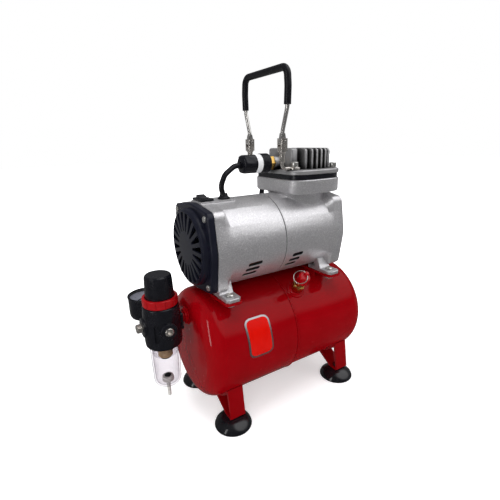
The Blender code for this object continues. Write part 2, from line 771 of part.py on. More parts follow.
def rotor_shaft():
    body = revolve(ROTOR_PROFILE, 40, MOTOR_AXIS)
    finish(body, "rotor_shaft", "lamination", (0, 0, MOTOR_Z))


def bearing(name, x):
    body = revolve(shifted(BEARING_PROFILE, x), 32, MOTOR_AXIS)
    finish(body, name, "steel", (x + 3.4, 0, MOTOR_Z))


FAN_X = -96.0
BLADE_COUNT = 7
BLADE_SQUASH = 0.62               # shortens the blades along the motor axis


def blade_ring(radius, angle):
    """Section of a twisted fan blade at a radius."""
    twist = math.radians(52 - 0.55 * radius)
    points = []
    for chord, thick in centred_rect(3.4 + 0.16 * radius, 0.7):
        x = FAN_X + chord * math.sin(twist) * BLADE_SQUASH + thick * math.cos(twist)
        sideways = chord * math.cos(twist) - thick * math.sin(twist)
        points += motor_section(rotated([(radius, sideways)], angle), x)
    return points


def cooling_fan():
    hub = [(SHAFT_BORE, -103.0), (SHAFT_BORE, -89.0), (10.0, -89.0), (11.5, -90.5),
           (11.5, -101.0), (9.0, -103.0)]
    body = revolve(hub, 28, MOTOR_AXIS)
    for k in range(BLADE_COUNT):
        angle = 2 * math.pi * k / BLADE_COUNT
        add(body, loft([blade_ring(radius, angle) for radius in (10.0, 20.0, 30.0, 38.5)]))
    finish(body, "cooling_fan", "black", (FAN_X, 0, MOTOR_Z), 30)


def crank_disc():
    """Hub, counterweight web and pin stub."""
    hub = [(SHAFT_BORE, 28.0), (SHAFT_BORE, 38.8), (9.5, 38.8), (9.5, 28.8), (8.7, 28.0)]
    body = revolve(hub, 32, MOTOR_AXIS)
    outline = arc(0, THROW, 7.5, 10, 170, 10) + arc(0, 0, 19.0, 205, 335, 14)
    web_x0, web_x1 = 38.4, 42.0
    web = loft([motor_section(outline, x) for x in (web_x0, web_x1)])
    add(web, cylinder(5.0, web_x1 - 0.5, 46.2, 24, along_x(0, PIN_Z), 0.4))
    add(body, web)
    finish(body, "crank_disc", "lamination", (33, 0, MOTOR_Z))


# ==== pump ===================================================================================
def connecting_rod():
    """Big end on the crank pin, rod and piston in one piece."""
    big_end = [(5.4, 46.8), (5.4, 55.6), (11.6, 55.6), (12.2, 55.0), (12.2, 47.4), (11.6, 46.8)]
    # (x0, x1, half width in y, z) up the rod
    stations = [(48.8, 53.8, 4.6, PIN_Z + 9), (49.1, 54.1, 4.0, 262.0), (47.1, 56.1, 6.0, 276.5)]
    piston = [(0, 275.0), (19.6, 275.0), (20.4, 275.8), (20.4, 277.8), (17.6, 277.8),
              (17.6, 280.4), (20.4, 280.4), (20.4, 282.0), (19.8, 282.6), (0, 282.6)]
    body = revolve(big_end, 32, along_x(0, PIN_Z))
    add(body, loft([[(x0, -y, z), (x1, -y, z), (x1, y, z), (x0, y, z)]
                    for x0, x1, y, z in stations]),
        revolve(piston, 64, CYL_AXIS))
    finish(body, "connecting_rod", "cast", (CYL_X, 0, PIN_Z))


def piston_seal():
    profile = [(17.9, 278.1), (21.2, 278.1), (21.2, 280.1), (17.9, 280.1)]
    finish(revolve(profile, 64, CYL_AXIS), "piston_seal", "ptfe", (CYL_X, 0, 279))


def cylinder_sleeve():
    profile = [(21.5, 252.0), (21.5, 284.8), (24.0, 284.8), (24.0, 252.6), (23.4, 252.0)]
    finish(revolve(profile, 64, CYL_AXIS), "cylinder_sleeve", "cast", (CYL_X, 0, 268))


def head_bolt_cutters(z0, z1):
    return [cylinder(BOLT_HOLE_R, z0, z1, 16, along_z(x, side * HEAD_BOLT_Y))
            for x in (HEAD_BOLT_XL, HEAD_BOLT_XR) for side in SIDES]


def valve_plate():
    body = loft([deck_ring(1.4, z) for z in (DECK_TOP + GAP, HEAD_Z - GAP)])
    ports = [cylinder(3.0, 280, 295, 16, along_z(x, 0)) for x in (CYL_X - 9, CYL_X + 9)]
    cut(body, joined(head_bolt_cutters(280, 295) + ports))
    finish(body, "valve_plate", "black", (CYL_X, 0, 288))


FIN_X0, FIN_PITCH = 38.0, 7.1
# (half width in y, half thickness, top z) from left to right
FINS = [(31.0, 1.5, 319.8), (34.0, 1.25, 319.8), (34.6, 1.25, 319.8), (34.6, 1.25, 319.8),
        (34.0, 1.25, 319.8), (31.0, 1.25, 319.8), (24.6, 1.25, 318.4)]


def cylinder_head():
    """Flange with a solid block at the left, fins and a rib through them."""
    body = loft([deck_ring(0.3, HEAD_Z), deck_ring(0.0, HEAD_Z + 0.5),
                 deck_ring(0.0, FLANGE_TOP - 0.8), deck_ring(0.8, FLANGE_TOP)])
    root_z = FLANGE_TOP - 1.0
    block = [(root_z, 0.0), (318.4, 0.0), (320.0, 0.7), (320.6, 1.8)]   # (z, inset)
    add(body, loft([section_z(rounded_rect(21.6 + i, 31.6 - i, -23.8 + i, 23.8 - i, 2.6, 4), z)
                    for z, i in block]))
    for k, (y, half, top) in enumerate(FINS):
        outline = [(-y, root_z), (-y, top - 3.0), (-y + 0.9, top - 0.9), (-y + 3.0, top),
                   (y - 3.0, top), (y - 0.9, top - 0.9), (y, top - 3.0), (y, root_z)]
        x = FIN_X0 + FIN_PITCH * k
        add(body, prism_x(outline, x - half, x + half))
    rib = [(-7.0, root_z), (-7.0, 309.0), (7.0, 309.0), (7.0, root_z)]
    add(body, prism_x(rib, 30.0, FIN_X0 + FIN_PITCH * (len(FINS) - 1)))
    side_port = cylinder(5.0, 18, 29, 28, HEAD_PORT_AXIS)
    cut(body, joined(head_bolt_cutters(285, 300) + [side_port]))
    finish(body, "cylinder_head", "cast", (CYL_X, 0, 296), 30)


HOOK_Z0 = FLANGE_TOP + GAP        # hook washers lie under the left head bolts
HOOK_Z1 = HOOK_Z0 + 3.0


def head_bolts():
    for corner, x, side in corners(HEAD_BOLT_XL, HEAD_BOLT_XR):
        z = HOOK_Z1 + GAP if x == HEAD_BOLT_XL else FLANGE_TOP + GAP
        profile = [(0, 275.0), (2.6, 275.0), (3.0, 275.4), (3.0, z), (4.4, z), (4.4, z + 5.2),
                   (3.9, z + 5.8), (2.2, z + 5.8), (2.2, z + 3.4), (0, z + 3.4)]
        body = revolve(profile, 24, along_z(x, side * HEAD_BOLT_Y))
        finish(body, "head_bolt_" + corner, "zinc", (x, side * HEAD_BOLT_Y, 296))


def motor_bolts():
    """Bolts with nuts that hold the casing feet on the saddles."""
    head = [(0, 168.7), (4.8, 168.7), (4.8, 169.9), (3.8, 171.0), (0, 171.0)]
    for corner, x, side in corners(BOLT_XL, BOLT_XR):
        line = along_z(x, side * BOLT_Y)
        body = cylinder(3.0, 155.2, 169.4, 20, line)
        add(body, revolve(head, 24, line), hexagon(9.6, 156.2, 161.2, line, 0.5))
        finish(body, "motor_bolt_" + corner, "zinc", (x, side * BOLT_Y, 166))


# ==== pressure switch on the head ==============================================================
SWITCH_X = -4.6                   # the switch sizes are counted from here
CABLE_Z = HEAD_PORT_Z - 0.8


def switch_cap():
    """Six-lobed cap, open to the right."""
    lobes = [(y, z, 1.0 + 0.035 * math.cos(6 * math.atan2(z, y)))
             for y, z in circle(1.0, segments(48))]
    stations = ((-12.7, 10.9), (-26.6, 10.9), (-28.9, 10.0), (-30.0, 8.4))   # (x, radius)
    body = loft([[(SWITCH_X + x, r * y * swell, HEAD_PORT_Z + r * z * swell)
                  for y, z, swell in lobes] for x, r in stations])
    cut(body, cylinder(8.8, SWITCH_X - 27.0, SWITCH_X - 10.0, 32, HEAD_PORT_AXIS),
        cylinder(3.9, SWITCH_X - 34, SWITCH_X - 24, 24, along_x(0, CABLE_Z)))
    finish(body, "switch_cap", "black", (-26, 0, HEAD_PORT_Z), 40)


def pressure_switch():
    """Round body with two broad ribs."""
    profile = [(0, -15.0), (8.2, -15.0), (8.2, -12.4), (10.5, -12.4), (10.5, -4.8), (11.0, -4.4)]
    for x in (-4.0, 1.5):
        profile += [(11.6, x), (11.6, x + 3.0), (10.9, x + 3.75), (10.9, x + 4.75)]
    profile += [(11.2, 7.0), (0, 7.0)]
    body = revolve(shifted(profile, SWITCH_X), 40, HEAD_PORT_AXIS)
    finish(body, "pressure_switch", "black", (-4, 0, HEAD_PORT_Z), 30)


def switch_nut():
    """Hexagon with a stub into the side port of the head."""
    stub = [(0, 9.4), (6.9, 9.4), (6.9, 20.4), (6.2, 21.3), (4.6, 21.3), (4.6, 27.6), (0, 27.6)]
    body = hexagon(15.6, SWITCH_X + 7.3, SWITCH_X + 14.8, HEAD_PORT_AXIS, 0.9)
    add(body, revolve(stub, 28, HEAD_PORT_AXIS))
    finish(body, "switch_nut", "brass", (10, 0, HEAD_PORT_Z), 30)


def switch_cable():
    """Cable from the cap down to a grommet on the casing."""
    path = rounded_path([(SWITCH_X - 28.0, 0, CABLE_Z),
                         (SWITCH_X - 39.0, -0.6, HEAD_PORT_Z - 1.2), (-57.5, -2.8, 294.0),
                         (-63.8, -3.8, 282.0), (-61.0, -3.2, 269.5)], [13.0] * 3, 8)
    grommet = [(0, 267.3), (7.2, 267.3), (7.2, 268.6), (5.0, 270.0), (4.2, 273.4), (0, 273.4)]
    grommet_x, grommet_y = -60.4, -3.2
    body = rod(path, 3.1, 14)
    add(body, revolve(grommet, 28, along_z(grommet_x, grommet_y)))
    finish(body, "switch_cable", "rubber", (grommet_x, grommet_y, 268))


# ==== rocker switch ==============================================================================
def rocker_block(half_x, half_y, z0, z1):
    return box(ROCKER_X - half_x, ROCKER_X + half_x, ROCKER_Y - half_y, ROCKER_Y + half_y, z0, z1)


def rocker_bezel():
    rim = rounded_rect(ROCKER_X - 7.8, ROCKER_X + 7.8, ROCKER_Y - 12.6, ROCKER_Y + 12.6, 1.5, 3)
    body = prism_z(rim, 267.3, 269.6)
    add(body, rocker_block(6.2, 9.7, 259.5, 268.5))
    cut(body, rocker_block(5.2, 8.9, 261.0, 275.0))
    finish(body, "rocker_bezel", "black", (ROCKER_X, ROCKER_Y, 268), 30)


# (y, z) from the pivot, button level
ROCKER_OUTLINE = [
    (-8.2, 0.6), (-6.9, -3.2), (-3.0, -5.2), (3.0, -5.2), (6.9, -3.2), (8.2, 0.6),
    (8.0, 3.4), (5.2, 3.3), (0.0, 2.3), (-5.2, 3.3), (-8.0, 3.4)]
ROCKER_TILT = math.radians(9.0)


def rocker_button():
    tilted = rotated(ROCKER_OUTLINE, ROCKER_TILT)
    outline = [(ROCKER_Y + y, ROCKER_Z + z) for y, z in tilted]
    body = prism_x(outline, ROCKER_X - 4.9, ROCKER_X + 4.9)
    finish(body, "rocker_button", "gloss", (ROCKER_X, ROCKER_Y, ROCKER_Z), 30)


# ==== carrying handle ============================================================================
def hook(name, side):
    """Washer under a left head bolt, bent rod, post and forked hinge block."""
    x, y = HEAD_BOLT_XL, side * HINGE_Y
    washer = [(3.4, HOOK_Z0), (3.4, HOOK_Z1), (6.4, HOOK_Z1), (6.8, 298.6),
              (6.8, 297.0), (6.4, HOOK_Z0)]
    post = [(0, 305.5), (3.2, 305.5), (3.2, 316.0), (4.4, 317.2), (4.4, 320.0), (0, 320.0)]
    body = revolve(washer, 24, along_z(x, side * HEAD_BOLT_Y))
    path = rounded_path([(x - 4.5, side * (HEAD_BOLT_Y + 0.2), 298.4),
                         (0.6, side * (HEAD_BOLT_Y + 2.3), 298.6), (0.0, y, 318.0)], [6.5], 6)
    add(body, rod(path, 2.0, 12))
    add(body, revolve(post, 20, along_z(0, y)))
    fork = prism_z(rounded_rect(-4.2, 4.2, y - 4.9, y + 4.9, 1.4, 3), 318.0, 332.0)
    cut(fork, box(-8, 8, y - 2.5, y + 2.5, 322.8, 340.0))
    add(body, fork)
    cut(body, cylinder(2.2, -10, 10, 16, along_y(0, HINGE_Z, y)))
    finish(body, name, "steel", (x, side * HEAD_BOLT_Y, 297))


# (y, z) of the rear half of the handle from the hinge up, and its corner radii
HANDLE_HALF = [(HINGE_Y, HINGE_Z + 2), (HINGE_Y, 339.0), (42.4, 364.0), (43.2, 385.0),
               (41.5, 403.5)]
HANDLE_RADII = [20, 20, 20, 9]
GRIP_Y, GRIP_Z = 42.5, 366.5      # lower ends of the grip
HANDLE_PATH = rounded_path(
    [(0, -y, z) for y, z in HANDLE_HALF] + [(0, y, z) for y, z in reversed(HANDLE_HALF)],
    HANDLE_RADII + HANDLE_RADII[::-1], 4)


def handle_frame():
    """Bent rod with a flattened eye and hinge pin at each end."""
    body = rod(HANDLE_PATH, 2.3, 12)
    eye = arc(0, 0, 4.2, 180, 360, 10) + [(2.2, 9.5), (-2.2, 9.5)]
    for side in SIDES:
        y = side * HINGE_Y
        add(body, loft([[(p, y + dy, HINGE_Z + q) for p, q in eye] for dy in (-2.2, 2.2)]))
        add(body, cylinder(1.8, -5.9, 5.9, 16, along_y(0, HINGE_Z, y), 0.3))
    finish(body, "handle_frame", "steel", (0, 0, HINGE_Z), 40)


def handle_grip():
    path = [Vector((0, -GRIP_Y, GRIP_Z))] + [p for p in HANDLE_PATH if p.z > GRIP_Z]
    path.append(Vector((0, GRIP_Y, GRIP_Z)))
    finish(sleeve(path, 3.9, 2.65, 14), "handle_grip", "rubber", (0, 0, HINGE_Z), 50)


# ==== filter regulator ===========================================================================
BOWL_Z = 54.5                     # underside of the bowl
# (radius, z) round the regulator axis
REG_BODY_PROFILE = [
    (0, 109.0), (19.6, 109.0), (20.6, 110.2), (21.2, 116.0), (20.9, 148.0), (20.1, 157.0),
    (19.3, 158.0), (14.4, 158.0), (14.4, 163.6), (13.6, 164.0), (11.0, 164.0),
    (11.0, 171.5), (0, 171.5)]
FILTER_STEM_PROFILE = [
    (0, 89.6), (5.6, 89.6), (6.2, 90.2), (6.2, 92.0), (2.9, 92.0), (2.9, 122.0), (0, 122.0)]


def regulator_body():
    """Round body with ports all round, a filter stem below and a side recess."""
    body = revolve(REG_BODY_PROFILE, 56, REG_AXIS)
    left_port = along_x(0, PORT_Z, REG_X)
    neck = rounded_rect(-12, 12, -11, 11, 3, 4)
    add(body, cylinder(9.3, -23.4, -5, 32, CROSS_PORT_AXIS, 0.7),
        cylinder(10.0, 5, 23.2, 32, CROSS_PORT_AXIS, 0.7),
        cylinder(11.0, -22.6, -5, 32, left_port, 0.7),
        loft([section_x(neck, x, PORT_Z) for x in (REG_X + 6, -124.2)]))
    cut(body, cylinder(17.7, 100, 121, 48, REG_AXIS))
    add(body, revolve(FILTER_STEM_PROFILE, 24, REG_AXIS))
    port_r = 5.1
    cut(body, cylinder(6.9, -126, -119, 28, PORT_AXIS),
        cylinder(port_r, -30, -16, 24, CROSS_PORT_AXIS),
        cylinder(port_r, 16, 30, 24, CROSS_PORT_AXIS),
        cylinder(port_r, -30, -16, 24, left_port))
    # upright recess, facing the front left
    angle = math.radians(-126)
    out = Vector((math.cos(angle), math.sin(angle), 0))
    across = Vector((-out.y, out.x, 0))
    recess = rounded_rect(-2.6, 2.6, 119.0, 141.0, 2.4, 4)
    centre = Vector((REG_X, REG_Y, 0))
    cut(body, loft([placed(recess, centre + out * reach, across, Vector((0, 0, 1)))
                    for reach in (19.4, 25.0)]))
    finish(body, "regulator_body", "black", (REG_X, REG_Y, PORT_Z), 30)


def lock_ring():
    profile = [(14.8, 158.3), (18.9, 158.3), (19.8, 159.3), (19.8, 167.0), (19.2, 168.0),
               (16.6, 168.0), (16.6, 164.4), (14.8, 164.4)]
    body = revolve(profile, 56, REG_AXIS)
    cut(body, joined([cylinder(1.1, 157, 170, 8, along_z(REG_X + x, REG_Y + y))
                      for x, y in circle(20.3, 6)]))
    finish(body, "lock_ring", "ringred", (REG_X, REG_Y, 163), 30)


def regulator_knob():
    """Knob with grooves round it, hollow below."""
    # (z, radius, groove depth)
    stations = ((164.8, 15.9, 0.0), (165.4, 16.1, 0.21), (188.6, 15.1, 0.21),
                (191.8, 14.7, 0.15), (193.3, 13.4, 0.0))
    rings = []
    for z, radius, groove in stations:
        points = []
        for k, (c, s) in enumerate(circle(1.0, 32)):
            r = radius - groove if k % 4 in (0, 1) else radius
            points.append((REG_X + r * c, REG_Y + r * s, z))
        rings.append(points)
    body = loft(rings)
    cut(body, cylinder(11.4, 160, 172.2, 40, REG_AXIS))
    finish(body, "regulator_knob", "black", (REG_X, REG_Y, 178), 25)


def filter_bowl():
    profile = [(2.7, BOWL_Z), (4.5, BOWL_Z)] + arc(8, BOWL_Z + 8.8, 8, -90, 0, 7)
    profile += [(17.3, 107.0), (17.3, 120.4), (15.1, 120.4), (15.1, 107.0)]
    profile += arc(7.8, BOWL_Z + 9.0, 6, 0, -90, 7) + [(2.7, BOWL_Z + 3.0)]
    finish(revolve(profile, 48, REG_AXIS), "filter_bowl", "clear", (REG_X, REG_Y, 80))


def filter_element():
    profile = [(3.2, 92.3), (3.2, 120.7), (8.4, 120.7), (8.4, 92.9), (7.8, 92.3)]
    finish(revolve(profile, 32, REG_AXIS), "filter_element", "tan", (REG_X, REG_Y, 106))


def bowl_drain_pin():
    profile = [(0, 36.0), (1.6, 36.0), (2.3, 36.8), (2.3, BOWL_Z + 3.5), (6.9, BOWL_Z + 3.5),
               (6.9, BOWL_Z + 8.8), (6.2, BOWL_Z + 9.6), (0, BOWL_Z + 9.6)]
    finish(revolve(profile, 24, REG_AXIS), "bowl_drain_pin", "zinc", (REG_X, REG_Y, BOWL_Z))


def outlet_nipple():
    """Nipple in the left port with three thread ridges."""
    ridges = 3
    thread_x, thread_length = REG_X - 28.4, 5.5
    pitch = thread_length / ridges
    profile = [(1.9, REG_X - 29.0), (4.2, REG_X - 29.0)]
    for k in range(ridges):
        x = thread_x + pitch * k
        profile += [(5.2, x + 0.23 * pitch), (5.2, x + 0.5 * pitch), (4.6, x + 0.83 * pitch)]
    profile += [(4.6, thread_x + thread_length + 0.4), (4.6, REG_X - 16.2), (1.9, REG_X - 16.2)]
    body = revolve(profile, 28, PORT_AXIS)
    finish(body, "outlet_nipple", "steel", (REG_X - 25, 0, PORT_Z), 25)


def port_plug():
    """Plug with a hexagon socket in the front port."""
    profile = [(0, -16.4), (4.7, -16.4), (4.7, -24.6), (4.2, -25.1), (0, -25.1)]
    body = revolve(profile, 28, CROSS_PORT_AXIS)
    cut(body, hexagon(4.6, -30, -22.4, CROSS_PORT_AXIS, 0.0))
    finish(body, "port_plug", "steel", (REG_X, REG_Y - 20, PORT_Z), 30)


# ==== gauge, dial facing up, stem screwed into the rear port =======================================
GAUGE_PROFILE = [
    (0, 120.0), (16.0, 120.0), (19.2, 121.4), (20.6, 124.0), (21.0, 128.0), (21.0, 146.0),
    (21.6, 147.0), (21.6, 148.8), (20.9, 149.4), (19.7, 149.4), (19.7, 145.0), (0, 145.0)]


def gauge_case():
    body = revolve(GAUGE_PROFILE, 48, GAUGE_AXIS)
    start, shoulder, end = REG_Y + 16.4, REG_Y + 23.6, GAUGE_Y - 15
    stem = [(0, start), (4.6, start), (4.6, shoulder), (5.6, shoulder), (5.6, end), (0, end)]
    stem_axis = along_y(REG_X, PORT_Z)
    add(body, revolve(stem, 24, stem_axis),
        hexagon(12.6, REG_Y + 24.2, REG_Y + 31.5, stem_axis, 0.6))
    finish(body, "gauge_case", "black", (GAUGE_X, GAUGE_Y, 135), 30)


def gauge_lens():
    body = cylinder(19.3, 147.5, 148.9, 48, GAUGE_AXIS, 0.3)
    finish(body, "gauge_lens", "clear", (GAUGE_X, GAUGE_Y, 148))


def gauge_needle():
    body = cylinder(2.3, 145.4, 146.9, 20, GAUGE_AXIS, 0.3)
    angle = math.radians(215)
    out = Vector((math.cos(angle), math.sin(angle), 0))
    across = Vector((-out.y, out.x, 0))
    centre = Vector((GAUGE_X, GAUGE_Y, 146.0))
    # (distance from the hub centre, half width) at the two ends of the blade
    add(body, loft([placed(centred_rect(half, 0.3), centre + out * reach, across,
                           Vector((0, 0, 1))) for reach, half in ((-6, 1.0), (15.5, 0.35))]))
    finish(body, "gauge_needle", "black", (GAUGE_X, GAUGE_Y, 146), 30)


# ==== safety valve, profiles are (radius, distance from the tank axis) =============================
VALVE_BODY_PROFILE = [
    (2.3, 58.0), (2.3, 84.5), (5.8, 84.5), (5.8, 80.4), (7.2, 79.8), (7.2, 78.0),
    (6.4, 77.4), (6.4, 70.8), (5.0, 70.8), (5.0, 58.6), (4.4, 58.0)]
VALVE_CAP_PROFILE = [
    (0, 60.0), (2.0, 60.0), (2.0, 85.4), (6.4, 85.4), (7.4, 86.6), (7.4, 96.4), (6.0, 98.4),
    (3.0, 99.0), (2.6, 99.6), (2.6, 103.8), (1.8, 104.6), (0, 104.6)]
RING_PIVOT = VALVE_FOOT + VALVE_DIR * 102.0
RING_R, RING_WIRE_R = 8.4, 0.55
RING_SWING = math.radians(30)     # drop of the ring below square to the valve


def safety_valve_body():
    body = revolve(VALVE_BODY_PROFILE, 28, VALVE_AXIS)
    nut = hexagon(14.0, 71.2, 78.0, VALVE_AXIS, 0.7)
    cut(nut, cylinder(5.5, 60, 90, 24, VALVE_AXIS))
    add(body, nut)
    finish(body, "safety_valve_body", "brass", VALVE_FOOT + VALVE_DIR * 70, 30)


def safety_valve_cap():
    body = revolve(VALVE_CAP_PROFILE, 28, VALVE_AXIS)
    cut(body, cylinder(1.05, -8, 8, 12, (VALVE_ACROSS, RING_PIVOT)))
    finish(body, "safety_valve_cap", "ringred", VALVE_FOOT + VALVE_DIR * 90, 30)


def pull_ring():
    """Ring through the cross hole of the cap stem, lying over to the left."""
    down = Vector((-math.cos(RING_SWING), 0, 0)) - VALVE_DIR * math.sin(RING_SWING)
    normal = VALVE_ACROSS.cross(down).normalized()
    centre = RING_PIVOT + down * RING_R
    rings = []
    for c, s in circle(1.0, segments(48)):
        out = VALVE_ACROSS * s - down * c
        rings.append(placed(circle(RING_WIRE_R, 6), centre + out * RING_R, out, normal))
    finish(loft(rings, closed=True), "pull_ring", "steel", RING_PIVOT, 60)


# ==== delivery hose ================================================================================
def delivery_hose():
    """From behind the head down to the tank."""
    path = rounded_path([(46.0, 38.2, 301.0), (46.0, 52.0, 301.0), (46.0, 70.0, 286.0),
                         (38.0, 74.0, 220.0), (33.0, 66.0, 164.0), (33.0, 46.3, 145.2)],
                        [10, 16, 30, 16], 5)
    finish(rod(path, 3.6, 14), "delivery_hose", "rubber", (40, 42, 280))


# ==== build ========================================================================================
tank_left()
tank_right()
tank_nipple()
drain_screw()
leg_bracket("leg_bracket_left", LEG_XL, FOOT_XL)
leg_bracket("leg_bracket_right", LEG_XR, FOOT_XR)
feet()
saddle("saddle_left", BOLT_XL)
saddle("saddle_right", BOLT_XR)

motor_housing()
crankcase()
end_cover()
fan_cover()
stator()
rotor_shaft()
cooling_fan()
crank_disc()
bearing("bearing_front", -86.4)
bearing("bearing_rear", 18.6)

connecting_rod()
piston_seal()
cylinder_sleeve()
valve_plate()
cylinder_head()
head_bolts()
motor_bolts()
switch_cap()
pressure_switch()
switch_nut()
switch_cable()
rocker_bezel()
rocker_button()

hook("hook_front", -1)
hook("hook_rear", 1)
handle_frame()
handle_grip()

regulator_body()
lock_ring()
regulator_knob()
filter_bowl()
filter_element()
bowl_drain_pin()
outlet_nipple()
port_plug()
gauge_case()
gauge_lens()
gauge_needle()
safety_valve_body()
safety_valve_cap()
pull_ring()
delivery_hose()
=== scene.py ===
# Looks of a mini airbrush compressor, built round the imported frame.
#
# A red air tank lies along X on four rubber feet, the electric motor and its one-cylinder
# pump stand on two saddles above it. -X is left (fan, filter regulator and gauge), +X is
# right (pump), -Y is front and +Z is up, with the feet on z = 0. Sizes are in millimetres
# from the seam of the tank; ORIGIN moves them into the frame.
import json
import math
import bmesh
import bpy
from mathutils import Matrix, Vector


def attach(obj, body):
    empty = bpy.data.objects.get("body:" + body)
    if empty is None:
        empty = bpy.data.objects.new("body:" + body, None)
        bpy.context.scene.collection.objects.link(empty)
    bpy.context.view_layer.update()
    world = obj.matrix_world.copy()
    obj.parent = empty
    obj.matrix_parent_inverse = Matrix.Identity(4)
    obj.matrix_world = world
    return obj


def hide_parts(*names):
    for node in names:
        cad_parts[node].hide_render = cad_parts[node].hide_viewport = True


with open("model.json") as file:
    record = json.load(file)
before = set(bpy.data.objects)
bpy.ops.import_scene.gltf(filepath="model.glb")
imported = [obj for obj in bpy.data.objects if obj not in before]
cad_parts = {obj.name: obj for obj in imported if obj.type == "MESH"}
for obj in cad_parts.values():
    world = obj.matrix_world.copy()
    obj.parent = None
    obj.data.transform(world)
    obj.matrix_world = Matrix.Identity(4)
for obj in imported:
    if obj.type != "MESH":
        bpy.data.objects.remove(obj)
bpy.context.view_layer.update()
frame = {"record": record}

MM = 0.001
ORIGIN = Vector((27.0, -1.82, 0.0))
GAP = 0.3                    # clearance between neighbouring pieces
ROUND_DETAIL = 1.25          # multiplies the segment counts of full turns
ARC_DETAIL = 1.35            # multiplies the step counts of arcs
COLLECTION = bpy.context.scene.collection
SIDES = (-1, 1)              # front, rear
ALONG_X = (1, 0, 0)
ALONG_Y = (0, 1, 0)
CORNERS = (                  # name, index into a (left, right) pair, side
    ("front_left", 0, -1), ("front_right", 1, -1), ("rear_left", 0, 1), ("rear_right", 1, 1))

# ---- main sizes ----
TANK_R = 67.0                # outer radius of the right half
TANK_LEFT_R = 68.4           # outer radius of the left half, which overlaps the right one
TANK_Z = 94.0
TANK_X = (-116.0, 121.0)
TANK_WALL = 1.7
TANK_SHOULDER = 20.0         # shoulder radius of the pressed ends
FOOT_X, FOOT_Y = (-85.5, 87.5), 51.0
LEG_X, LEG_W = (-82.5, 90.5), 20.0
MOTOR_R, MOTOR_Z = 51.0, 216.0
MOTOR_WALL = 3.5
MOTOR_X, SEAM_X = (-94.0, 84.0), -5.0
LUG = 37.9                   # half spacing of the lugs for the end screws
BOLT_X, BOLT_Y = (-82.5, 65.0), 49.6
CYLINDER_X = 51.6
HEAD_BOLT_X, HEAD_BOLT_Y = (21.0, 82.8), 30.2
THROW = 7.5                  # crank throw
PIN_Z = MOTOR_Z + THROW      # crank pin at top dead centre
SWITCH_Z = 303.8             # axis of the pressure switch
SWITCH_X = -4.6              # its shift along that axis
ROCKER_X, ROCKER_Y, ROCKER_Z = -84.2, 2.0, 268.4
HANDLE_Y, HANDLE_Z = 34.0, 328.0     # hinge of the carrying handle
REG_X, REG_Y = -146.0, -3.0  # upright axis of the regulator
PORT_Z = 133.0               # height of its ports and of the tank nipple
BOWL_Z = 54.5                # underside of the filter bowl
GAUGE_X, GAUGE_Y = -147.5, 54.0
DIAL_ZERO, DIAL_SWEEP = 215.0, 270.0     # degrees; the scale runs clockwise
VALVE_LEAN = math.radians(37.0)          # safety valve, from vertical towards the front
VALVE_DIR = Vector((0, -math.sin(VALVE_LEAN), math.cos(VALVE_LEAN)))
VALVE_BASE = Vector((17.0, 0, TANK_Z))

# axes that several pieces are turned about
ON_TANK = dict(axis=ALONG_X, at=(0, 0, TANK_Z))
ON_MOTOR = dict(axis=ALONG_X, at=(0, 0, MOTOR_Z))
ON_CYLINDER = dict(at=(CYLINDER_X, 0, 0))
ON_SWITCH = dict(axis=ALONG_X, at=(0, 0, SWITCH_Z))
ON_REGULATOR = dict(at=(REG_X, REG_Y, 0))
ON_SIDE_PORTS = dict(axis=ALONG_Y, at=(REG_X, REG_Y, PORT_Z))
ON_PORT = dict(axis=ALONG_X, at=(0, 0, PORT_Z))
ON_GAUGE = dict(at=(GAUGE_X, GAUGE_Y, 0))
ON_VALVE = dict(axis=VALVE_DIR, at=VALVE_BASE)
ON_DRAIN = dict(at=(30, 0, 0))


def segments(n):
    """Segments round a full turn at the chosen fineness."""
    return max(8, 4 * int(round(n * ROUND_DETAIL / 4.0)))


def segments8(n):
    """The same in multiples of eight, so that the 45 degree corners are kept."""
    return max(24, 8 * int(round(n * ROUND_DETAIL / 8.0)))


def steps(n):
    """Steps along an arc at the chosen fineness."""
    return max(2, int(round(n * ARC_DETAIL)))


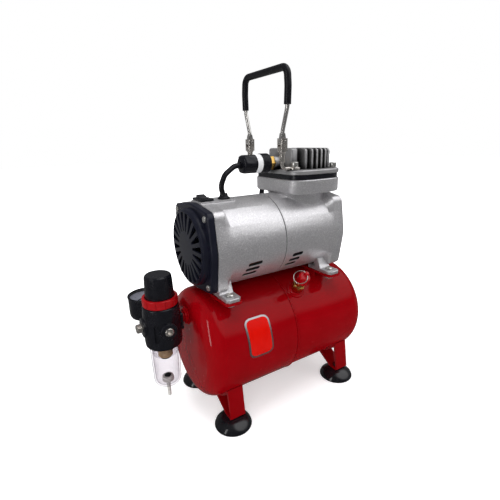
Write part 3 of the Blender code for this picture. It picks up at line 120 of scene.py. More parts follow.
# ==== finishes: small node graphs; lengths and noise scales are in metres ====
class Graph:
    """Short hand for building the node tree of a material or world."""

    def __init__(self, owner, coords):
        owner.use_nodes = True
        self.owner = owner
        self.tree = owner.node_tree
        self.coords = self.node("TexCoord").outputs[coords]

    def feed(self, socket, value):
        """Set a socket's own value, or link another socket to it."""
        if isinstance(value, (int, float, tuple)):
            socket.default_value = value
        else:
            self.tree.links.new(value, socket)

    def node(self, kind, **inputs):
        """New node; input names have _ for spaces."""
        made = self.tree.nodes.new("ShaderNode" + kind)
        for name, value in inputs.items():
            self.feed(made.inputs[name.replace("_", " ")], value)
        return made

    def stretched(self, x, y, z):
        return self.node("Mapping", Vector=self.coords, Scale=(x, y, z)).outputs["Vector"]

    def noise(self, scale, detail=3.0, roughness=0.55, coords=None):
        return self.node("TexNoise", Vector=coords or self.coords, Scale=scale, Detail=detail,
                         Roughness=roughness).outputs["Fac"]

    def cells(self, scale, output):
        return self.node("TexVoronoi", Vector=self.coords, Scale=scale).outputs[output]

    def span(self, value, low, high, start=0.3, end=0.7, smooth=False):
        """Map start..end to low..high."""
        made = self.node("MapRange", Value=value, From_Min=start, From_Max=end,
                         To_Min=low, To_Max=high)
        if smooth:
            made.interpolation_type = "SMOOTHSTEP"
        return made.outputs["Result"]

    def ramp(self, value, stops):
        """Colour ramp through (position, colour) stops."""
        made = self.node("ValToRGB", Fac=value)
        elements = made.color_ramp.elements
        for element, (position, colour) in zip(elements, (stops[0], stops[-1])):
            element.position = position
            element.color = (*colour, 1.0)
        for position, colour in stops[1:-1]:
            elements.new(position).color = (*colour, 1.0)
        return made.outputs["Color"]

    def mottle(self, value, dark, light):
        return self.ramp(value, [(0.3, dark), (0.7, light)])

    def bump(self, height, strength, distance, normal=None):
        made = self.node("Bump", Height=height, Strength=strength, Distance=distance)
        if normal is not None:
            self.feed(made.inputs["Normal"], normal)
        return made.outputs["Normal"]

    def rounded(self, radius):
        """Edge rounding seen by the light only, on top of the modelled edges."""
        made = self.node("Bevel", Radius=radius)
        made.samples = 4
        return made.outputs["Normal"]

    def indexed(self, kind, *values):
        made = self.node(kind)
        for socket, value in zip(made.inputs, values):
            self.feed(socket, value)
        return made

    def math(self, operation, *values):
        made = self.indexed("Math", *values)
        made.operation = operation
        return made.outputs[0]

    def vector_math(self, operation, *values, scale=None):
        made = self.indexed("VectorMath", *values)
        made.operation = operation
        if scale is not None:
            self.feed(made.inputs["Scale"], scale)
        return made.outputs["Value" if operation in ("DOT_PRODUCT", "LENGTH") else "Vector"]

    def mix(self, factor, first, second, blend="MIX"):
        made = self.node("Mix")
        made.data_type = "RGBA"
        made.blend_type = blend
        # sockets 6 and 7 are the colours, output 2 is the colour result
        for index, value in ((0, factor), (6, first), (7, second)):
            self.feed(made.inputs[index], value)
        return made.outputs[2]

    def principled(self, **values):
        shader = self.tree.nodes["Principled BSDF"]
        for name, value in values.items():
            self.feed(shader.inputs[name.replace("_", " ")], value)
        return self.owner

    def surface(self, shader):
        """Use another shader in place of the principled one."""
        self.tree.nodes.remove(self.tree.nodes["Principled BSDF"])
        self.feed(self.tree.nodes["Material Output"].inputs["Surface"], shader)
        return self.owner


def new_material(name):
    return Graph(bpy.data.materials.new(name), "Object")


def blended(first, second, amount):
    return tuple(a * (1 - amount) + b * amount for a, b in zip(first, second))


def mottled(name, tone, dark, light, rough, sheen=None, stretch=None, grain=None, bump=None,
            edge=None, **values):
    """Common finish: noisy colour, noisy roughness and a fine bump.

    tone, sheen and grain are noises (scale, detail, roughness) for colour, roughness and
    bump; sheen falls back on tone and grain on sheen. stretch draws the sheen into lines,
    rough is (low, high), bump is (strength, distance), edge is the radius of rounding.
    """
    g = new_material(name)
    tone_noise = g.noise(*tone)
    sheen_noise = tone_noise
    if sheen:
        coords = g.stretched(*stretch) if stretch else None
        sheen_noise = g.noise(*sheen, coords=coords)
    if bump:
        height = g.noise(*grain) if grain else sheen_noise
        normal = g.rounded(edge) if edge else None
        values["Normal"] = g.bump(height, *bump, normal=normal)
    return g.principled(Base_Color=g.mottle(tone_noise, dark, light),
                        Roughness=g.span(sheen_noise, *rough), **values)


def tank_paint():
    g = new_material("gloss_red_paint")
    colour = g.mottle(g.noise(scale=22.0), dark=(0.215, 0.0004, 0.0022),
                      light=(0.250, 0.0006, 0.0032))
    peel = g.noise(scale=260.0, detail=2.0, roughness=0.45)
    specks = g.span(g.cells(420.0, "Distance"), low=0.0, high=1.0, start=0.02, end=0.10)
    # the pressed left end mirrors more than the rolled shell
    facing = g.indexed("SeparateXYZ", g.node("NewGeometry").outputs["Normal"]).outputs[0]
    coat = g.span(facing, low=0.66, high=0.19, start=-0.90, end=-0.35)
    dull = g.math("MULTIPLY", g.math("SUBTRACT", 1.0, specks), 0.05)
    patches = g.span(g.noise(scale=90.0, detail=4.0), low=0.22, high=0.28)
    return g.principled(
        Base_Color=colour, Roughness=g.math("ADD", patches, dull),
        Normal=g.bump(peel, strength=0.03, distance=0.0002, normal=g.rounded(0.0007)),
        Coat_Weight=coat, Coat_Roughness=0.015, Specular_IOR_Level=0.02)


def casing_paint():
    g = new_material("silver_sparkle_paint")
    flakes = g.cells(1400.0, "Color")
    centred = g.vector_math("SUBTRACT", flakes, (0.5, 0.5, 0.5))
    tilt = g.vector_math("SCALE", centred, scale=0.15)
    normal = g.vector_math("NORMALIZE", g.vector_math("ADD", g.rounded(0.0008), tilt))
    random = g.indexed("SeparateColor", flakes)
    silver = g.ramp(random.outputs[0], [
        (0.0, (0.58, 0.57, 0.585)), (0.55, (0.66, 0.65, 0.665)),
        (0.90, (0.71, 0.70, 0.71)), (1.0, (0.90, 0.89, 0.90))])
    # painted shade inside the casing and its vent slots: near black within a radius, silver
    # paint only outside it and on the end faces
    place = g.indexed("SeparateXYZ", g.coords).outputs
    squares = [g.math("POWER", place[i], 2.0) for i in (1, 2)]
    radius = g.math("SQRT", g.math("ADD", *squares))
    skin = g.span(radius, low=0.0, high=1.0, start=0.05035, end=0.0507)
    ends = g.span(g.math("ABSOLUTE", place[0]), low=0.0, high=1.0, start=0.0835, end=0.0838)
    clear_of_painted_shade = g.math("MAXIMUM", skin, ends)
    return g.principled(
        Base_Color=g.mix(clear_of_painted_shade, (0.012, 0.012, 0.013, 1.0), silver),
        Roughness=g.span(random.outputs[1], low=0.32, high=0.42, start=0.0, end=1.0),
        Metallic=g.math("MULTIPLY", clear_of_painted_shade, 0.80), Normal=normal,
        Coat_Weight=0.10, Coat_Roughness=0.15)


def cast_aluminium():
    g = new_material("die_cast_aluminium")
    coarse = g.noise(scale=340.0, detail=5.0, roughness=0.65)
    fine = g.noise(scale=1500.0, detail=2.0, roughness=0.5)
    colour = g.mottle(g.noise(scale=45.0, detail=4.0), dark=(0.47, 0.465, 0.47),
                      light=(0.56, 0.555, 0.56))
    # painted shade between the fins: the colour is darkened by ambient occlusion
    fin_shade_ao = g.node("AmbientOcclusion", Distance=0.009, Color=colour)
    fin_shade_ao.samples = 6
    colour = g.vector_math("SCALE", fin_shade_ao.outputs["Color"],
                           scale=g.math("POWER", fin_shade_ao.outputs["AO"], 1.6))
    normal = g.bump(coarse, strength=0.16, distance=0.0004, normal=g.rounded(0.0008))
    return g.principled(
        Base_Color=colour, Roughness=g.span(coarse, low=0.42, high=0.58), Metallic=0.85,
        Normal=g.bump(fine, strength=0.35, distance=0.0002, normal=normal))


def winding():
    g = new_material("enamelled_winding")
    strands = g.noise(scale=900.0, detail=2.0, roughness=0.4,
                      coords=g.stretched(0.25, 2.2, 2.2))
    colour = g.ramp(strands, [(0.3, (0.050, 0.014, 0.005)), (0.5, (0.13, 0.042, 0.014)),
                              (0.7, (0.20, 0.075, 0.026))])
    return g.principled(Base_Color=colour, Roughness=g.span(strands, low=0.25, high=0.45),
                        Metallic=0.7, Normal=g.bump(strands, strength=0.6, distance=0.0004))


def clear_wall(name, tint, edge, shine):
    """Thin clear wall: light goes straight through, glossy on the outer faces only."""
    g = new_material(name)
    # painted shade: the see-through colour darkens towards the grazing edges, a little for the
    # longer path through the tinted wall, mostly in place of the refraction a real wall shows
    # there
    facing = g.node("LayerWeight", Blend=0.30).outputs["Facing"]
    flow = g.span(g.noise(scale=45.0), low=-0.03, high=0.03)
    colour = g.ramp(g.math("ADD", facing, flow), [
        (0.0, tint), (0.55, blended(tint, edge, 0.10)),
        (0.88, blended(tint, edge, 0.6)), (1.0, edge)])
    through = g.node("BsdfTransparent", Color=colour).outputs[0]
    gloss = g.node("BsdfGlossy", Roughness=0.05).outputs[0]
    inner = g.node("NewGeometry").outputs["Backfacing"]
    outer = g.math("SUBTRACT", 1.0, inner)
    fresnel = g.node("Fresnel", IOR=1.45).outputs[0]
    strength = g.math("MULTIPLY", g.math("MULTIPLY", fresnel, outer), shine)
    factor = g.math("MINIMUM", strength, 0.85)
    return g.surface(g.indexed("MixShader", factor, through, gloss).outputs[0])


def sinter():
    g = new_material("sintered_filter")
    grains = g.cells(1300.0, "Distance")
    colour = g.mottle(g.noise(scale=220.0, detail=4.0), dark=(0.50, 0.34, 0.17),
                      light=(0.66, 0.48, 0.28))
    return g.principled(Base_Color=colour, Roughness=0.85,
                        Normal=g.bump(grains, strength=0.6, distance=0.0005))


def brushed():
    g = new_material("brushed_plate")
    lines = g.noise(scale=260.0, detail=4.0, roughness=0.6,
                    coords=g.stretched(0.25, 9.0, 9.0))
    colour = g.ramp(lines, [(0.25, (0.30, 0.30, 0.31)), (0.75, (0.44, 0.44, 0.45))])
    return g.principled(Base_Color=colour, Roughness=g.span(lines, low=0.24, high=0.40),
                        Metallic=0.95, Normal=g.bump(lines, strength=0.12, distance=0.0002))


def plated(name, dark, light, rough, metal=0.93):
    return mottled(name, tone=(110.0, 3.0), dark=dark, light=light, sheen=(240.0, 4.0),
                   rough=rough, grain=(1900.0, 2.0), bump=(0.06, 0.0002), edge=0.0003,
                   Metallic=metal)


def enamel(name, dark, light, rough, specular=0.5):
    return mottled(name, tone=(130.0, 3.0), dark=dark, light=light, rough=rough,
                   grain=(1500.0, 2.0), bump=(0.05, 0.0001), Specular_IOR_Level=specular)


def ink(name, dark):
    return mottled(name, tone=(300.0, 3.0), dark=dark, light=tuple(v * 1.5 for v in dark),
                   rough=(0.4, 0.55))


FINISH = {
    "red": tank_paint,
    "silver": casing_paint,
    "cast": cast_aluminium,
    "copper": winding,
    "tan": sinter,
    "plate": brushed,
    "machined": lambda: mottled(
        "machined_casting", tone=(60.0, 3.0), dark=(0.40, 0.40, 0.41),
        light=(0.50, 0.50, 0.51), sheen=(900.0, 3.0, 0.5), stretch=(0.15, 0.15, 3.0),
        rough=(0.28, 0.42), bump=(0.2, 0.0002), Metallic=0.95),
    "brass": lambda: mottled(
        "turned_brass", tone=(160.0, 3.0), dark=(0.60, 0.36, 0.09), light=(0.74, 0.48, 0.15),
        sheen=(1400.0, 3.0, 0.5), stretch=(4.0, 0.2, 0.2), rough=(0.16, 0.30),
        bump=(0.10, 0.0002), edge=0.0003, Metallic=1.0),
    "lamination": lambda: mottled(
        "machined_steel", tone=(90.0, 3.0), dark=(0.10, 0.10, 0.11), light=(0.17, 0.17, 0.18),
        sheen=(1100.0, 3.0, 0.5), stretch=(6.0, 0.3, 0.3), rough=(0.26, 0.42),
        bump=(0.15, 0.0002), Metallic=1.0),
    "black": lambda: mottled(
        "satin_black_plastic", tone=(120.0, 4.0), dark=(0.0040, 0.0042, 0.0064),
        light=(0.0068, 0.0070, 0.0098), rough=(0.24, 0.28), grain=(2200.0, 2.0, 0.5),
        bump=(0.04, 0.0001), edge=0.0006, Specular_IOR_Level=0.36),
    "cover": lambda: mottled(
        "blue_black_lacquer", tone=(70.0, 4.0), dark=(0.0048, 0.0054, 0.0110),
        light=(0.0075, 0.0082, 0.0160), rough=(0.28, 0.34), grain=(1600.0, 2.0, 0.5),
        bump=(0.05, 0.0001), edge=0.0008, Specular_IOR_Level=0.25),
    "gloss": lambda: mottled(
        "gloss_black_plastic", tone=(80.0, 3.0), dark=(0.007, 0.007, 0.009),
        light=(0.011, 0.011, 0.014), rough=(0.08, 0.16), grain=(300.0, 2.0),
        bump=(0.03, 0.0003), edge=0.0005),
    "foot": lambda: mottled(
        "polished_black_rubber", tone=(65.0, 4.0), dark=(0.0040, 0.0040, 0.0055),
        light=(0.0070, 0.0070, 0.0090), rough=(0.13, 0.27), grain=(520.0, 3.0),
        bump=(0.05, 0.0004), edge=0.0008),
    "rubber": lambda: mottled(
        "matt_black_rubber", tone=(150.0, 4.0), dark=(0.0030, 0.0030, 0.0046),
        light=(0.0052, 0.0052, 0.0074), rough=(0.32, 0.42), grain=(1700.0, 3.0),
        bump=(0.08, 0.0001), Specular_IOR_Level=0.30),
    "ringred": lambda: mottled(
        "gloss_red_plastic", tone=(140.0, 3.0), dark=(0.26, 0.0010, 0.0030),
        light=(0.31, 0.0015, 0.0040), rough=(0.16, 0.24), grain=(700.0, 2.0),
        bump=(0.04, 0.0002), edge=0.0006, Coat_Weight=0.1, Coat_Roughness=0.08,
        Specular_IOR_Level=0.3),
    "ptfe": lambda: mottled(
        "filled_ptfe", tone=(400.0, 4.0), dark=(0.42, 0.40, 0.36), light=(0.60, 0.58, 0.52),
        rough=(0.4, 0.55), bump=(0.1, 0.0002)),
    "steel": lambda: plated(
        "nickel_plate", dark=(0.62, 0.58, 0.54), light=(0.80, 0.76, 0.71), rough=(0.14, 0.28)),
    "zinc": lambda: plated(
        "zinc_plate", dark=(0.66, 0.65, 0.62), light=(0.80, 0.79, 0.75), rough=(0.24, 0.36)),
    "wirechrome": lambda: plated(
        "bright_wire", dark=(0.62, 0.60, 0.58), light=(0.76, 0.74, 0.71), rough=(0.14, 0.26)),
    # a lighter, less metallic copy of the nickel plate for the drain pin inside the bowl:
    # painted light
    "satin": lambda: plated(
        "nickel_painted_light_copy", dark=(0.74, 0.71, 0.68), light=(0.86, 0.84, 0.80), rough=(0.26, 0.36),
        metal=0.35),
    "clear": lambda: clear_wall(
        "clear_polycarbonate", tint=(0.905, 0.895, 0.905), edge=(0.22, 0.21, 0.26), shine=1.0),
    "lens": lambda: clear_wall(
        "gauge_glass", tint=(0.985, 0.988, 0.99), edge=(0.90, 0.91, 0.92), shine=0.6),
    # the dial is white; its dark grey colour is painted shade
    "white": lambda: enamel(
        "white_dial_painted_shade", dark=(0.13, 0.13, 0.16), light=(0.16, 0.16, 0.19), rough=(0.30, 0.42)),
    "label": lambda: enamel(
        "plain_label", dark=(0.70, 0.70, 0.71), light=(0.80, 0.80, 0.81), rough=(0.34, 0.5)),
    "enamel": lambda: enamel(
        "plain_red_enamel", dark=(0.53, 0.0030, 0.0006), light=(0.56, 0.0040, 0.0008),
        rough=(0.20, 0.24), specular=0.12),
    "ink": lambda: ink("dial_ink", dark=(0.015, 0.015, 0.018)),
    "redink": lambda: ink("red_dial_ink", dark=(0.50, 0.010, 0.010)),
}
finishes_made = {}


def finish_of(key):
    """Material of that key, made when it is first needed."""
    if key not in finishes_made:
        finishes_made[key] = FINISH[key]()
    return finishes_made[key]


# ==== outlines: lists of points in a plane ====
def circle(radius, n, x=0.0, y=0.0):
    turns = [2 * math.pi * k / n for k in range(n)]
    return [(x + radius * math.cos(t), y + radius * math.sin(t)) for t in turns]


def arc(x, y, radius, start, end, n):
    """Arc from start to end in degrees."""
    n = steps(n)
    angles = [math.radians(start + (end - start) * k / n) for k in range(n + 1)]
    return [(x + radius * math.cos(t), y + radius * math.sin(t)) for t in angles]


def rounded_rect(x0, x1, y0, y1, radius, n):
    lo_x, hi_x, lo_y, hi_y = x0 + radius, x1 - radius, y0 + radius, y1 - radius
    corners = ((hi_x, hi_y, 0), (lo_x, hi_y, 90), (lo_x, lo_y, 180), (hi_x, lo_y, 270))
    return [p for x, y, a in corners for p in arc(x, y, radius, a, a + 90.0, n)]


def scaled(outline, factor):
    return [(p[0] * factor, p[1] * factor) for p in outline]


def rotated(outline, angle):
    cos, sin = math.cos(angle), math.sin(angle)
    return [(p[0] * cos - p[1] * sin, p[0] * sin + p[1] * cos) for p in outline]


def at_x(outline, x, z=MOTOR_Z):
    """Stand a (y, z) outline at x, raised by z."""
    return [(x, p[0], z + p[1]) for p in outline]


def at_z(outline, z):
    return [(p[0], p[1], z) for p in outline]


def convex_hull(points):
    points = sorted(set((round(p[0], 6), round(p[1], 6)) for p in points))

    def chain(sequence):
        kept = []
        for p in sequence:
            while len(kept) >= 2:
                a, b = kept[-2:]
                if (b[0] - a[0]) * (p[1] - a[1]) - (b[1] - a[1]) * (p[0] - a[0]) > 1e-9:
                    break
                kept.pop()
            kept.append(p)
        return kept
    return chain(points)[:-1] + chain(points[::-1])[:-1]


def casing_outline(radius, lug_radius, n):
    """A circle with four screw lugs and straight sides between them, at n even angles."""
    points = circle(radius, 96)
    for x in (-1, 1):
        for y in (-1, 1):
            points += circle(lug_radius, 24, x * LUG, y * LUG)
    outline = convex_hull(points)
    even = []
    for dx, dy in circle(1.0, n):
        best = None
        for i, p in enumerate(outline):
            q = outline[(i + 1) % len(outline)]
            ex, ey = q[0] - p[0], q[1] - p[1]
            det = dx * (-ey) + dy * ex
            if abs(det) < 1e-12:
                continue
            reach = (p[0] * (-ey) + p[1] * ex) / det
            along = (dx * p[1] - dy * p[0]) / det
            if reach > 0 and -1e-6 <= along <= 1 + 1e-6:
                best = reach if best is None else max(best, reach)
        even.append((best * dx, best * dy))
    return even


def filleted(profile, radius):
    """Closed profile with its corners rounded, as far as their sides allow."""
    out = []
    for i, point in enumerate(profile):
        corner = Vector(point)
        side1 = Vector(profile[i - 1]) - corner
        side2 = Vector(profile[(i + 1) % len(profile)]) - corner
        len1, len2 = side1.length, side2.length
        if corner.x < 1e-9 or len1 < 1e-6 or len2 < 1e-6:
            out.append(tuple(corner))
            continue
        side1, side2 = side1 / len1, side2 / len2
        angle = math.acos(max(-1.0, min(1.0, side1.dot(side2))))
        if angle > math.radians(155) or angle < 0.05:
            out.append(tuple(corner))
            continue
        trim = min(radius / math.tan(angle / 2), 0.42 * len1, 0.42 * len2)
        fit = trim * math.tan(angle / 2)
        centre = corner + (side1 + side2).normalized() * (fit / math.sin(angle / 2))
        first, last = corner + side1 * trim - centre, corner + side2 * trim - centre
        count = 3 if angle < math.radians(120) else 2
        start = math.atan2(first.y, first.x)
        end = math.atan2(last.y, last.x)
        sweep = (end - start + math.pi) % (2 * math.pi) - math.pi
        for k in range(count + 1):
            t = start + sweep * k / count
            out.append((max(0.0, centre.x + fit * math.cos(t)), centre.y + fit * math.sin(t)))
    return out


# ==== solids ====
def solid(verts, faces):
    """Object from vertices and faces, with its normals outward."""
    mesh = bpy.data.meshes.new("tmp")
    mesh.from_pydata([tuple(v) for v in verts], [], faces)
    bm = bmesh.new()
    bm.from_mesh(mesh)
    bmesh.ops.recalc_face_normals(bm, faces=bm.faces)
    if bm.calc_volume(signed=True) < 0:
        bmesh.ops.reverse_faces(bm, faces=bm.faces)
    bm.to_mesh(mesh)
    bm.free()
    obj = bpy.data.objects.new("tmp", mesh)
    COLLECTION.objects.link(obj)
    return obj


def basis(axis):
    """Directions u, v, w; w points along the axis."""
    w = Vector(axis).normalized()
    if abs(w.z) > 0.999:
        u = Vector((1, 0, 0))
    elif abs(w.x) > 0.999:
        u = Vector((0, 1, 0))
    else:
        u = Vector((1, 0, 0)) if abs(w.x) < 0.1 else Vector((0, 1, 0))
    v = w.cross(u).normalized()
    return v.cross(w).normalized(), v, w


def turned(profile, n=48, axis=(0, 0, 1), at=(0, 0, 0), fillet=0.3):
    """Solid of revolution from a closed list of (radius, place along the axis)."""
    n = segments(n)
    u, v, w = basis(axis)
    centre = Vector(at)
    verts, rows = [], []
    for r, z in filleted(profile, fillet):
        if r < 1e-9:
            rows.append([len(verts)])
            verts.append(centre + w * z)
            continue
        rows.append(list(range(len(verts), len(verts) + n)))
        for k in range(n):
            t = 2 * math.pi * k / n
            verts.append(centre + u * (r * math.cos(t)) + v * (r * math.sin(t)) + w * z)
    faces = []
    for i, a in enumerate(rows):
        b = rows[(i + 1) % len(rows)]
        if len(a) == 1 and len(b) == 1:
            continue
        for k in range(n):
            j = (k + 1) % n
            if len(a) == 1:
                faces.append((a[0], b[k], b[j]))
            elif len(b) == 1:
                faces.append((a[k], b[0], a[j]))
            else:
                faces.append((a[k], b[k], b[j], a[j]))
    return solid(verts, faces)


def drum(radius, start, end, n=48, axis=(0, 0, 1), at=(0, 0, 0), chamfer=0.0, phase=0.0):
    """Cylinder with n-gon ends and optionally rounded rims; up to 6 sides are kept as given."""
    profile = [(radius, start), (radius, end)]
    if chamfer > 0:
        inner = radius - chamfer
        profile = (arc(inner, start + chamfer, chamfer, -90, 0, 3)
                   + arc(inner, end - chamfer, chamfer, 0, 90, 3))
    n = n if n <= 6 else segments(n)
    u, v, w = basis(axis)
    centre = Vector(at)
    turns = [2 * math.pi * k / n + phase for k in range(n)]
    return loft([[centre + u * (r * math.cos(t)) + v * (r * math.sin(t)) + w * z
                  for t in turns] for r, z in profile])


def hexbar(flats, start, end, axis=(0, 0, 1), at=(0, 0, 0), chamfer=0.5, phase=0.0):
    """Hexagonal bar by its width across flats."""
    return drum(flats / 2 / math.cos(math.pi / 6), start, end, 6, axis, at, chamfer, phase)


def loft(rings, closed=False):
    """Skin over rings of equal length, capped at both ends or closed on itself."""
    n = len(rings[0])
    count = len(rings)
    faces = []
    for i in range(count if closed else count - 1):
        j = (i + 1) % count
        for k in range(n):
            m = (k + 1) % n
            faces.append((i * n + k, i * n + m, j * n + m, j * n + k))
    if not closed:
        faces.append(tuple(range(n)))
        faces.append(tuple(range((count - 1) * n, count * n)))
    return solid([Vector(p) for ring in rings for p in ring], faces)


def prism(outline, z0, z1):
    return loft([at_z(outline, z0), at_z(outline, z1)])


def prism_x(outline, x0, x1, z=0.0):
    """A (y, z) outline drawn out along X, raised by z."""
    return loft([at_x(outline, x0, z), at_x(outline, x1, z)])


def box(x0, x1, y0, y1, z0, z1):
    return prism([(x0, y0), (x1, y0), (x1, y1), (x0, y1)], z0, z1)


def smooth_path(points, radius, n):
    """Polyline with rounded corners; one radius or one per inner corner."""
    n = steps(n)
    points = [Vector(p) for p in points]
    out = [points[0]]
    for i in range(1, len(points) - 1):
        wanted = radius[i - 1] if isinstance(radius, list) else radius
        before, corner, after = points[i - 1:i + 2]
        side1, side2 = (before - corner).normalized(), (after - corner).normalized()
        half = side1.angle(side2) / 2
        trim = min(wanted / math.tan(half), (before - corner).length * 0.49,
                   (after - corner).length * 0.49)
        fit = trim * math.tan(half)
        centre = corner + (side1 + side2).normalized() * (fit / math.sin(half))
        first, last = corner + side1 * trim - centre, corner + side2 * trim - centre
        sweep = first.angle(last)
        pivot = first.cross(last).normalized()
        for k in range(n + 1):
            out.append(centre + Matrix.Rotation(sweep * k / n, 3, pivot) @ first)
    out.append(points[-1])
    return out


def path_rings(path, radii, n):
    """Rings of n points square to a path, one radius per path point."""
    points = [Vector(p) for p in path]
    tangents = []
    for i, point in enumerate(points):
        before = points[max(i - 1, 0)]
        after = points[min(i + 1, len(points) - 1)]
        if 0 < i < len(points) - 1:
            tangent = (point - before).normalized() + (after - point).normalized()
        else:
            tangent = after - before
        tangents.append(tangent.normalized())
    level = Vector((0, 0, 1)) if abs(tangents[0].z) < 0.9 else Vector((1, 0, 0))
    side = tangents[0].cross(level).normalized()
    rings = []
    for i, (point, tangent) in enumerate(zip(points, tangents)):
        if i:
            side = (side - tangent * side.dot(tangent)).normalized()
        other = tangent.cross(side)
        rings.append([point + side * x + other * y for x, y in circle(radii[i], n)])
    return rings


def wire(path, radius, n=12):
    """Round rod along a path; one radius or one per point."""
    radii = radius if isinstance(radius, list) else [radius] * len(path)
    return loft(path_rings(path, radii, segments(n)))


def sleeve(path, outer, inner, n):
    """Open tube with a wall along a path."""
    n = segments(n)
    count = len(path)
    verts = [p for r in (outer, inner) for ring in path_rings(path, [r] * count, n)
             for p in ring]
    off = count * n
    last = off - n
    faces = []
    for i in range(count - 1):
        for k in range(n):
            a, b = i * n + k, i * n + (k + 1) % n
            faces.append((a, b, b + n, a + n))
            faces.append((off + a, off + a + n, off + b + n, off + b))
    for k in range(n):
        m = (k + 1) % n
        faces.append((k, off + k, off + m, m))
        faces.append((last + k, last + m, off + last + m, off + last + k))
    return solid(verts, faces)


def torus(centre, start, side, normal, radius, n, thickness):
    """Ring from start towards side; thickness(k) is the radius of the wire at step k."""
    rings = []
    for k in range(n):
        t = 2 * math.pi * k / n
        out = start * math.cos(t) + side * math.sin(t)
        middle = centre + out * radius
        rings.append([middle + out * x + normal * y for x, y in circle(thickness(k), 8)])
    return loft(rings, closed=True)


def joined(objects):
    """Several separate solids in one mesh."""
    verts, faces = [], []
    for obj in objects:
        mesh = obj.data
        base = len(verts)
        verts += [v.co.copy() for v in mesh.vertices]
        faces += [tuple(base + i for i in p.vertices) for p in mesh.polygons]
        bpy.data.objects.remove(obj, do_unlink=True)
        bpy.data.meshes.remove(mesh)
    return solid(verts, faces)


def bake(obj, modifier):
    """Put a modifier's result in the mesh."""
    depsgraph = bpy.context.evaluated_depsgraph_get()
    mesh = bpy.data.meshes.new_from_object(obj.evaluated_get(depsgraph))
    obj.modifiers.remove(modifier)
    old = obj.data
    obj.data = mesh
    bpy.data.meshes.remove(old)


def boolean(obj, tools, operation):
    for tool in tools:
        modifier = obj.modifiers.new("b", "BOOLEAN")
        modifier.operation = operation
        modifier.solver = "EXACT"
        modifier.object = tool
        bake(obj, modifier)
        tool_mesh = tool.data
        bpy.data.objects.remove(tool, do_unlink=True)
        bpy.data.meshes.remove(tool_mesh)
        bm = bmesh.new()
        bm.from_mesh(obj.data)
        bmesh.ops.remove_doubles(bm, verts=bm.verts, dist=1e-4)
        bmesh.ops.dissolve_degenerate(bm, edges=bm.edges, dist=1e-4)
        bm.to_mesh(obj.data)
        bm.free()
    return obj


def cut(obj, *tools):
    return boolean(obj, tools, "DIFFERENCE")


def add(obj, *tools):
    return boolean(obj, tools, "UNION")


# ==== handing pieces to the frame ====
RECORD = frame["record"]
NODE_BODY = {n: body for body, names in RECORD["behaviour"]["bodies"].items() for n in names}


def shade(mesh, angle):
    for polygon in mesh.polygons:
        polygon.use_smooth = True
    mesh.set_sharp_from_angle(angle=math.radians(angle))


def dress(obj, name, finish, origin, angle):
    """Millimetres to metres about the origin, smooth shading up to the angle, material."""
    origin = Vector(origin)
    mesh = obj.data
    for vertex in mesh.vertices:
        vertex.co = (vertex.co - origin) * MM
    mesh.update()
    mesh.name = name
    obj.name = name
    obj.location = (origin + ORIGIN) * MM
    shade(mesh, angle)
    mesh.materials.clear()
    mesh.materials.append(finish_of(finish))
    for polygon in mesh.polygons:
        polygon.material_index = 0


def soften(obj, width):
    """Rounded edges as real geometry."""
    modifier = obj.modifiers.new("edges", "BEVEL")
    modifier.limit_method = "ANGLE"
    modifier.angle_limit = math.radians(32.0)
    modifier.width = width * MM
    modifier.segments = 2
    bake(obj, modifier)
    shade(obj.data, 40)


def part(obj, name, finish, origin, angle=35.0, edge=0.0):
    """A piece that stands for the CAD node of that name."""
    dress(obj, name + "_look", finish, origin, angle)
    if edge > 0:
        soften(obj, edge)
    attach(obj, NODE_BODY[name])
    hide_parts(name)


def detail(obj, name, finish, slot, origin=(0, 0, 0), angle=30.0, body="compressor"):
    """A piece that only the looks need."""
    dress(obj, name, finish, origin, angle)
    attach(obj, body)


# Lathe profiles below list (radius, place along the axis).

# ==== tank ====
def shoulder(radius, bend, depth):
    return arc(radius - bend, depth + bend, bend, -90, 0, 10)


def tank_cup(x_end, direction, profile):
    """Half of the tank; the profile gives (radius, distance from the closed end)."""
    return turned([(r, x_end + direction * d) for r, d in profile], 80, **ON_TANK)


LEFT_LENGTH = -TANK_X[0]
INNER_BEND = TANK_SHOULDER - TANK_WALL
profile = [(0.0, 0.0)] + shoulder(TANK_LEFT_R, TANK_SHOULDER, 0.0)
profile += [(TANK_LEFT_R, LEFT_LENGTH - 0.6), (TANK_LEFT_R - 0.6, LEFT_LENGTH),
            (TANK_LEFT_R - TANK_WALL, LEFT_LENGTH)]
profile += shoulder(TANK_LEFT_R - TANK_WALL, INNER_BEND, TANK_WALL)[::-1] + [(0.0, TANK_WALL)]
left = tank_cup(TANK_X[0], 1, profile)
cut(left, drum(7.3, -120, -110, 32, **ON_PORT))
part(left, "tank_left", "red", (0, 0, TANK_Z))

RIGHT_LENGTH = TANK_X[1] + 8.0
LIP_R = TANK_LEFT_R - TANK_WALL - GAP    # lip that slides into the left half
profile = [(0.0, 0.0)] + shoulder(TANK_R, TANK_SHOULDER, 0.0)
profile += [(TANK_R, TANK_X[1] - 2.6), (LIP_R, TANK_X[1] - 0.4), (LIP_R, RIGHT_LENGTH),
            (LIP_R - TANK_WALL, RIGHT_LENGTH), (LIP_R - TANK_WALL, TANK_X[1] - 1.0),
            (TANK_R - TANK_WALL, TANK_X[1] - 3.0)]
profile += shoulder(TANK_R - TANK_WALL, INNER_BEND, TANK_WALL)[::-1] + [(0.0, TANK_WALL)]
right = tank_cup(TANK_X[1], -1, profile)
valve_boss = turned([(0, 64.5), (11.5, 64.5), (11.5, 67.6), (10.8, 68.3), (9.2, 68.3),
                     (8.6, 69.8), (7.9, 70.4), (0, 70.4)], 32, **ON_VALVE)
drain_boss = turned([(0, 24.0), (0, 30.0), (8.0, 30.0), (8.0, 24.6), (7.4, 24.0)], 24,
                    **ON_DRAIN)
add(right, valve_boss, drain_boss)
cut(right, drum(5.6, 55, 75, 36, **ON_VALVE), drum(4.4, 20, 35, 24, **ON_DRAIN))
